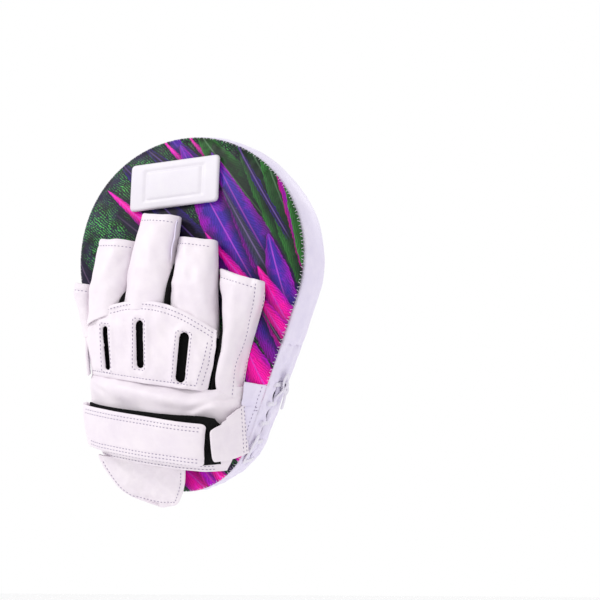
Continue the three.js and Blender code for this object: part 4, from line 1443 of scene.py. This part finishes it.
def make_strap():
    """The strap with its hook tape, and the loop tape on the wrist below it."""
    rows, columns = 46, 240
    p, q, h, run, v = arch_grid(STRAP_ARCH, rows, columns, -76.0, -106.5, (0.9, 0.55))
    lower = v * smooth((-34 - p) / 24)
    p = p + 6.0 * lower
    h = h - 2.2 * lower
    across = (-76.0 - q)
    puff = 1.3 * np.sin(math.pi * v) ** 0.6
    stitched = (dent(across - 3.0, 0.4, 0.9) + dent(across - 5.4, 0.35, 0.9)
                + dent(across - 25.0, 0.4, 0.9) + dent(across - 27.6, 0.4, 0.9))
    away = run[-1] - run[None, :] + 0 * v
    rim = np.minimum(np.minimum(v, 1 - v) * 30, away)
    h = h + puff + stitched - 1.2 * bell(rim, 1.1)
    P = on_glove(p, q, h)
    h = h + 0.35 * waves(P, 36, 111, stretch=(1, 1, 0.6)) + 0.14 * waves(P, 13, 112)
    P = on_glove(p, q, h)
    band = from_grid("wrist_strap_leather", P, GLOVE_OUT, white_leather, 3.0)
    hinge = (Vector(on_glove(-66.5, -91.0, 3.0)), Vector(on_glove(-65.5, -91.0, 13.0)))
    settle(band, "strap", "wrist_strap", slot="white_leather", blend=hinge)
    sewing = Sewing(band)
    for level in (-79.2, -81.7, -101.2, -103.6):
        start = -57 if level > -90 else -50
        sewing.row(*glove_rays([(x, level) for x in np.linspace(start, 47, 16)], side=0.0))
        sewing.row(*glove_rays([(x, level) for x in np.linspace(-65, start, 4)], side=-0.9))
    sewing.finish("strap_thread", thread, "strap", blend=hinge)

    # hook tape under the strap's free end
    p, q, h, run, v = arch_grid([(-6, 30.4), (10, 31.2), (28, 31.0), (43, 29.0), (49.6, 26.8)], 26, 90,
                                -78.6, -104.4, (0.4, 0.4), 2.0)
    tape = from_grid("strap_hook_tape_pile", on_glove(p, q, h - 0.6), GLOVE_OUT, black_pile, 1.1,
                     subdivide=0)
    settle(tape, "strap", "strap_hook_tape", slot="black_tape")

    # loop tape on the wrist, wider towards the thumb
    across, along = 40, 170
    arch = [(-57.5, 13.5), (-49, 20.3), (-30, 26.0), (0, 28.3), (28, 28.0), (46, 25.6), (54.0, 22.4),
            (58.5, 19.0)]
    path = evenly(catmull(arch, 400), along)
    v = np.linspace(0, 1, across)[:, None]
    top = np.interp(path[:, 0], [-58, -30, 10, 46, 54, 57], [-74.4, -74.4, -73.6, -71.6, -72.4, -76.0])
    foot = np.interp(path[:, 0], [20, 34, 44, 57], [-98.5, -103.0, -107.0, -105.0])
    q = top[None, :] + (foot - top)[None, :] * v
    h = path[None, :, 1] + 0.9 + 0.8 * np.sin(math.pi * v) - 2.2 * smooth((-98 - q) / 8)
    ring = 0.5 * waves(on_glove(path[None, :, 0] + 0 * q, q, h), 18, 117)
    tape = from_grid("strap_loop_tape_pile", on_glove(path[None, :, 0] + 0 * q, q, h + ring * 0.5),
                     GLOVE_OUT, black_pile, 1.6, subdivide=0)
    settle(tape, ROOT, "strap_loop_tape", slot="black_tape")


# the keeper's upper and lower edges, as (p, q, h)
KEEPER_TOP = [(54.6, -79.0, 30.6), (56.6, -78.6, 30.8), (59.6, -76.0, 27.0), (62.6, -71.5, 21.0),
              (65.6, -66.0, 13.6), (68.8, -60.5, 4.0)]
KEEPER_BOTTOM = [(56.2, -102.2, 27.4), (58.2, -102.4, 27.0), (61.0, -102.4, 22.0), (64.4, -101.8, 15.6),
                 (68.6, -100.2, 9.0), (73.6, -97.0, 3.0)]


def make_keeper():
    """The doubled tab the strap closes against, opening out to its seam on the thumb side."""
    rows, columns = 60, 110
    v = np.linspace(0, 1, rows)[:, None]
    top = evenly(catmull(KEEPER_TOP, 400), columns)
    bottom = evenly(catmull(KEEPER_BOTTOM, 400), columns)
    grid = top[None] * (1 - v[..., None]) + bottom[None] * v[..., None]
    p, q, h = grid[..., 0], grid[..., 1], grid[..., 2]
    run = np.linspace(0, length_of(top), columns)[None, :]
    corner = 2.0 * (1 - np.sqrt(np.clip(1 - np.clip(1 - run / 3.0, 0, 1) ** 2, 0, 1)))
    q = q + corner * (2 * v - 1)
    rim = np.minimum(v, 1 - v) * 24
    h = h + 0.9 * np.sin(math.pi * v) ** 0.5 - 0.9 * bell(rim, 1.0)
    h = h + 1.1 * bell(run - 2.2, 2.2) - 0.7 * bell(run - 7.5, 2.2)
    crease = run - 13 - 7 * v
    h = (h - 0.9 * bell(crease - 4 * np.sin(3 * v), 1.6) * smooth((0.6 - v) / 0.4)
         + 0.8 * bell(crease - 4 - 4 * np.sin(3 * v), 2.2) * smooth((0.7 - v) / 0.4))
    seam = dent(run[:, -1:] - run - 3.0, 0.5, 1.2) + dent(run[:, -1:] - run - 7.2, 0.5, 1.2)
    P = on_glove(p, q, h + seam)
    P = on_glove(p, q, h + seam + (0.5 * waves(P, 22, 121, stretch=(1, 1, 1.6))
                                   + 0.2 * waves(P, 9, 122)) * smooth(run / 10))
    keeper = from_grid("strap_keeper_leather", P, (0.6, -1.0, 0.0), white_leather, 2.6)
    settle(keeper, ROOT, "strap_keeper", slot="white_leather")
    sewing = Sewing(keeper)
    for inset in (3.0, 7.0):
        line = [tuple(np.array(top[-1 - int(inset * 2.2)]) * (1 - t)
                      + np.array(bottom[-1 - int(inset * 2.2)]) * t)
                for t in np.linspace(0.03, 0.97, 12)]
        far = on_glove(*(np.array([(a + 0.62 * 60, b, c + 60) for a, b, c in line]).T))
        near = on_glove(*(np.array(line).T))
        far, near = evenly(far, 60), evenly(near, 60)
        sewing.row(far, (near - far) / np.linalg.norm(near - far, axis=1, keepdims=True))
    sewing.finish("keeper_thread", thread, ROOT)


# the flap's rows: q, left edge, right edge, height
FLAP_ROWS = (
    (-112.0, -47.4, 27.0, 16.2), (-116, -46.0, 27.0, 15.6), (-122, -43, 26.2, 14.2),
    (-128, -38.8, 25.0, 12.6), (-133, -34.6, 23.4, 11.2), (-137, -29.8, 21.6, 10.2),
    (-140.5, -23.6, 19.4, 9.4), (-143.4, -15.0, 16.0, 8.8), (-145.4, -2.0, 9.5, 8.4),
)


def make_flap():
    """The loose tongue below the wrist hem."""
    rows, columns = 64, 110
    fine = catmull(np.array(FLAP_ROWS), rows)
    q, left, right, base = [fine[:, k][:, None] for k in range(4)]
    t = np.linspace(0, 1, columns)[None, :]
    p = left + (right - left) * t
    q = q - 1.6 * np.sin(math.pi * t) * smooth((-130 - q) / 12)
    rim = np.minimum(np.minimum(p - left, right - p), (144.6 + q) * 0.8 + 0.0 * t)
    h = (base + 2.0 * np.sin(math.pi * t) ** 0.8 * smooth((145 + q) / 20)
         - 0.5 * bell(np.maximum(rim, 0), 1.0) + dent(rim - 3.4, 0.3, 0.9))
    P = on_glove(p, q, h)
    P = on_glove(p, q, h + 0.55 * waves(P, 34, 131) + 0.15 * waves(P, 12, 132))
    flap = from_grid("cuff_flap_leather", P, GLOVE_OUT, white_leather, 2.4)
    hinge = (Vector(on_glove(-10, -113.5, 15)), Vector(on_glove(-10, -119.5, 14)))
    settle(flap, "flap", "cuff_flap", slot="white_leather", blend=hinge)
    sewing = Sewing(flap)
    edge = [(a + 3.2, b) for b, a, _, _ in FLAP_ROWS[1:-2]]
    edge += [(-12, -141.4), (2, -142.6), (10, -141.6)] + [(a - 3.4, b) for b, _, a, _ in FLAP_ROWS[-3:0:-1]]
    sewing.row(*glove_rays(edge))
    sewing.finish("flap_thread", thread, "flap", blend=hinge)


# ---- the whole ----

# a feather's colours: its vane and its edge
FEATHER = {
    "pink": (PINK, MAGENTA),
    "magenta": (MAGENTA, PINK),
    "violet": (BLUE_VIOLET, MAGENTA),
    "blue": (BLUE_VIOLET, VIOLET),
    "dark": (DEEP, (0.03, 0.02, 0.06)),
    "green": ((0.016, 0.07, 0.016), (0.06, 0.34, 0.06)),
    "grey": ((0.012, 0.008, 0.02), BLUE_VIOLET),
    "slate": ((0.035, 0.035, 0.07), (0.09, 0.05, 0.24)),
    "barbed": ((0.01, 0.03, 0.01), (0.05, 0.3, 0.05)),
}


def plumes(*rows, mirror=False):
    """Feathers from (tip x, tip z, heading, bend, half width, length, colour).

    mirror turns them about x = 8."""
    for x, z, heading, bend, half, length, colour in rows:
        if mirror:
            x, heading, bend = 16 - x, 180 - heading, -bend
        yield (x, z, heading, bend, half, length, *FEATHER[colour])


BACK_FEATHERS = (
    (-96, 88, -60, 0.0, 12, 170, "dark"), (-60, 150, -42, 0.0, 9, 120, "grey"),
    (-40, 160, -36, 0.0, 7, 120, "grey"), (-24, 172, -44, 0.0, 11, 150, "blue"),
    (-28, 168, -42, 0.0, 3.5, 150, "pink"), (-8, 172, -44, 0.0, 3.5, 150, "pink"),
    (-66, 126, -38, 0.0, 8, 190, "pink"), (-56, 106, -36, 0.0, 10, 160, "dark"),
    (4, 172, -48, 0.0, 16, 160, "barbed"), (-6, 158, -57, 0.0, 22, 240, "violet"),
    (22, 150, -57, 0.0, 15, 210, "violet"), (34, 122, -57, 0.0, 6, 150, "slate"),
    (30, 182, -52, -0.0004, 18, 190, "barbed"), (58, 160, -60, -0.0006, 12, 160, "green"),
    (34, 168, -56, 0.0, 2.2, 110, "grey"), (66, 158, -60, -0.0012, 5, 150, "magenta"),
    (76, 150, -62, -0.0012, 8, 150, "green"), (22, 88, -48, 0.0, 6, 140, "pink"),
    (76, 84, -74, 0.0005, 10, 62, "violet"), (68, 60, -60, 0.0, 13, 130, "pink"),
    (66, 42, -56, 0.0, 12, 130, "pink"), (44, 30, -64, 0.0, 14, 140, "pink"),
    (64, 40, -58, 0.0, 1.5, 110, "dark"), (-26, -62, -44, 0.0, 12, 110, "pink"),
    (-4, -60, -54, 0.0, 7, 100, "magenta"), (8, -62, -56, 0.0, 7, 110, "pink"),
    (20, -60, -56, 0.0, 3.5, 90, "dark"), (34, -50, -62, 0.0, 9, 110, "pink"),
    (52, -46, -66, 0.0, 8, 110, "magenta"),
)
back_print = feather_print("back_print", list(plumes(*BACK_FEATHERS)))
STRIKE_FEATHERS = (
    (-70, 60, -52, 0.0, 22, 190, "green"), (-84, 90, -40, 0.0, 16, 150, "dark"),
    (-50, 152, -48, 0.0, 20, 190, "green"), (-34, 170, -54, 0.0, 22, 230, "blue"),
    (-12, 166, -52, 0.0008, 9, 220, "violet"), (20, 172, -44, -0.0008, 20, 170, "green"),
    (56, 160, -58, -0.001, 16, 180, "grey"), (66, 120, -66, -0.001, 12, 160, "violet"),
    (-76, 138, -44, -0.001, 7, 220, "magenta"), (-22, 112, -50, 0.0, 13, 190, "blue"),
    (-8, 118, -48, -0.0012, 9, 200, "pink"), (-76, 76, -26, -0.0016, 15, 230, "pink"),
    (-50, 66, -30, -0.0018, 7, 200, "violet"), (-62, 98, -36, -0.0012, 5, 220, "magenta"),
    (-60, 28, -40, -0.0012, 9, 190, "dark"), (-58, 6, -36, -0.001, 12, 180, "pink"),
    (-46, -6, -44, -0.0008, 5, 160, "violet"), (-42, -32, -44, 0.0, 7, 120, "green"),
    (2, 32, -46, -0.0008, 7, 140, "magenta"), (20, 62, -52, -0.0006, 9, 150, "pink"),
)
strike_print = feather_print("strike_print", list(plumes(*STRIKE_FEATHERS, mirror=True)))

make_pad()
make_lace()
make_badge()
make_stalls()
make_seam_ridge()
make_thumb()
make_knuckle()
make_lining()
make_wrist()
make_gussets()
make_strap()
make_keeper()
make_flap()


# ---- stage ----

def soft_light(name, place, aim, size, power):
    light = bpy.data.lights.new(name, "AREA")
    light.shape = "DISK"
    light.size = size
    light.energy = power
    obj = bpy.data.objects.new(name, light)
    bpy.context.scene.collection.objects.link(obj)
    obj.location = place
    obj.rotation_euler = (Vector(aim) - Vector(place)).to_track_quat("-Z", "Y").to_euler()
    return obj


FLOOR_Z = -0.28
bpy.ops.mesh.primitive_plane_add(size=14, location=(0, 0, FLOOR_Z))
floor = bpy.context.object
floor.name = "studio_floor"
floor_look = Shader("studio_floor")
floor.data.materials.append(floor_look.set(Base_Color=(0.95, 0.95, 0.955), Roughness=0.9))

world = bpy.data.worlds.new("studio")
bpy.context.scene.world = world
world.use_nodes = True
world.node_tree.nodes["Background"].inputs["Color"].default_value = (1.0, 1.0, 1.0, 1.0)
world.node_tree.nodes["Background"].inputs["Strength"].default_value = 1.0

centre = (0.0, 0.02, 0.03)
soft_light("key", (-1.5, -1.5, 1.5), centre, 0.45, 21)
soft_light("rear", (0.6, 1.6, 1.2), centre, 1.2, 6)

azimuth, elevation = math.radians(29.1), math.radians(-5.7)
right = Vector((math.cos(azimuth), math.sin(azimuth), 0.0))
towards = Vector((math.sin(azimuth) * math.cos(elevation), -math.cos(azimuth) * math.cos(elevation),
                  math.sin(elevation)))
upwards = towards.cross(right)
pad_centre = Vector((0.0, 0.031, 0.029))
data = bpy.data.cameras.new("camera")
data.lens = 150
data.sensor_width = 36
camera = bpy.data.objects.new("camera", data)
bpy.context.scene.collection.objects.link(camera)
camera.location = pad_centre + 1.890 * towards
aim = pad_centre + 0.0839 * right + 0.0106 * upwards
camera.rotation_euler = (aim - camera.location).to_track_quat("-Z", "Y").to_euler()
bpy.context.scene.camera = camera
bpy.context.scene.view_settings.view_transform = "Standard"
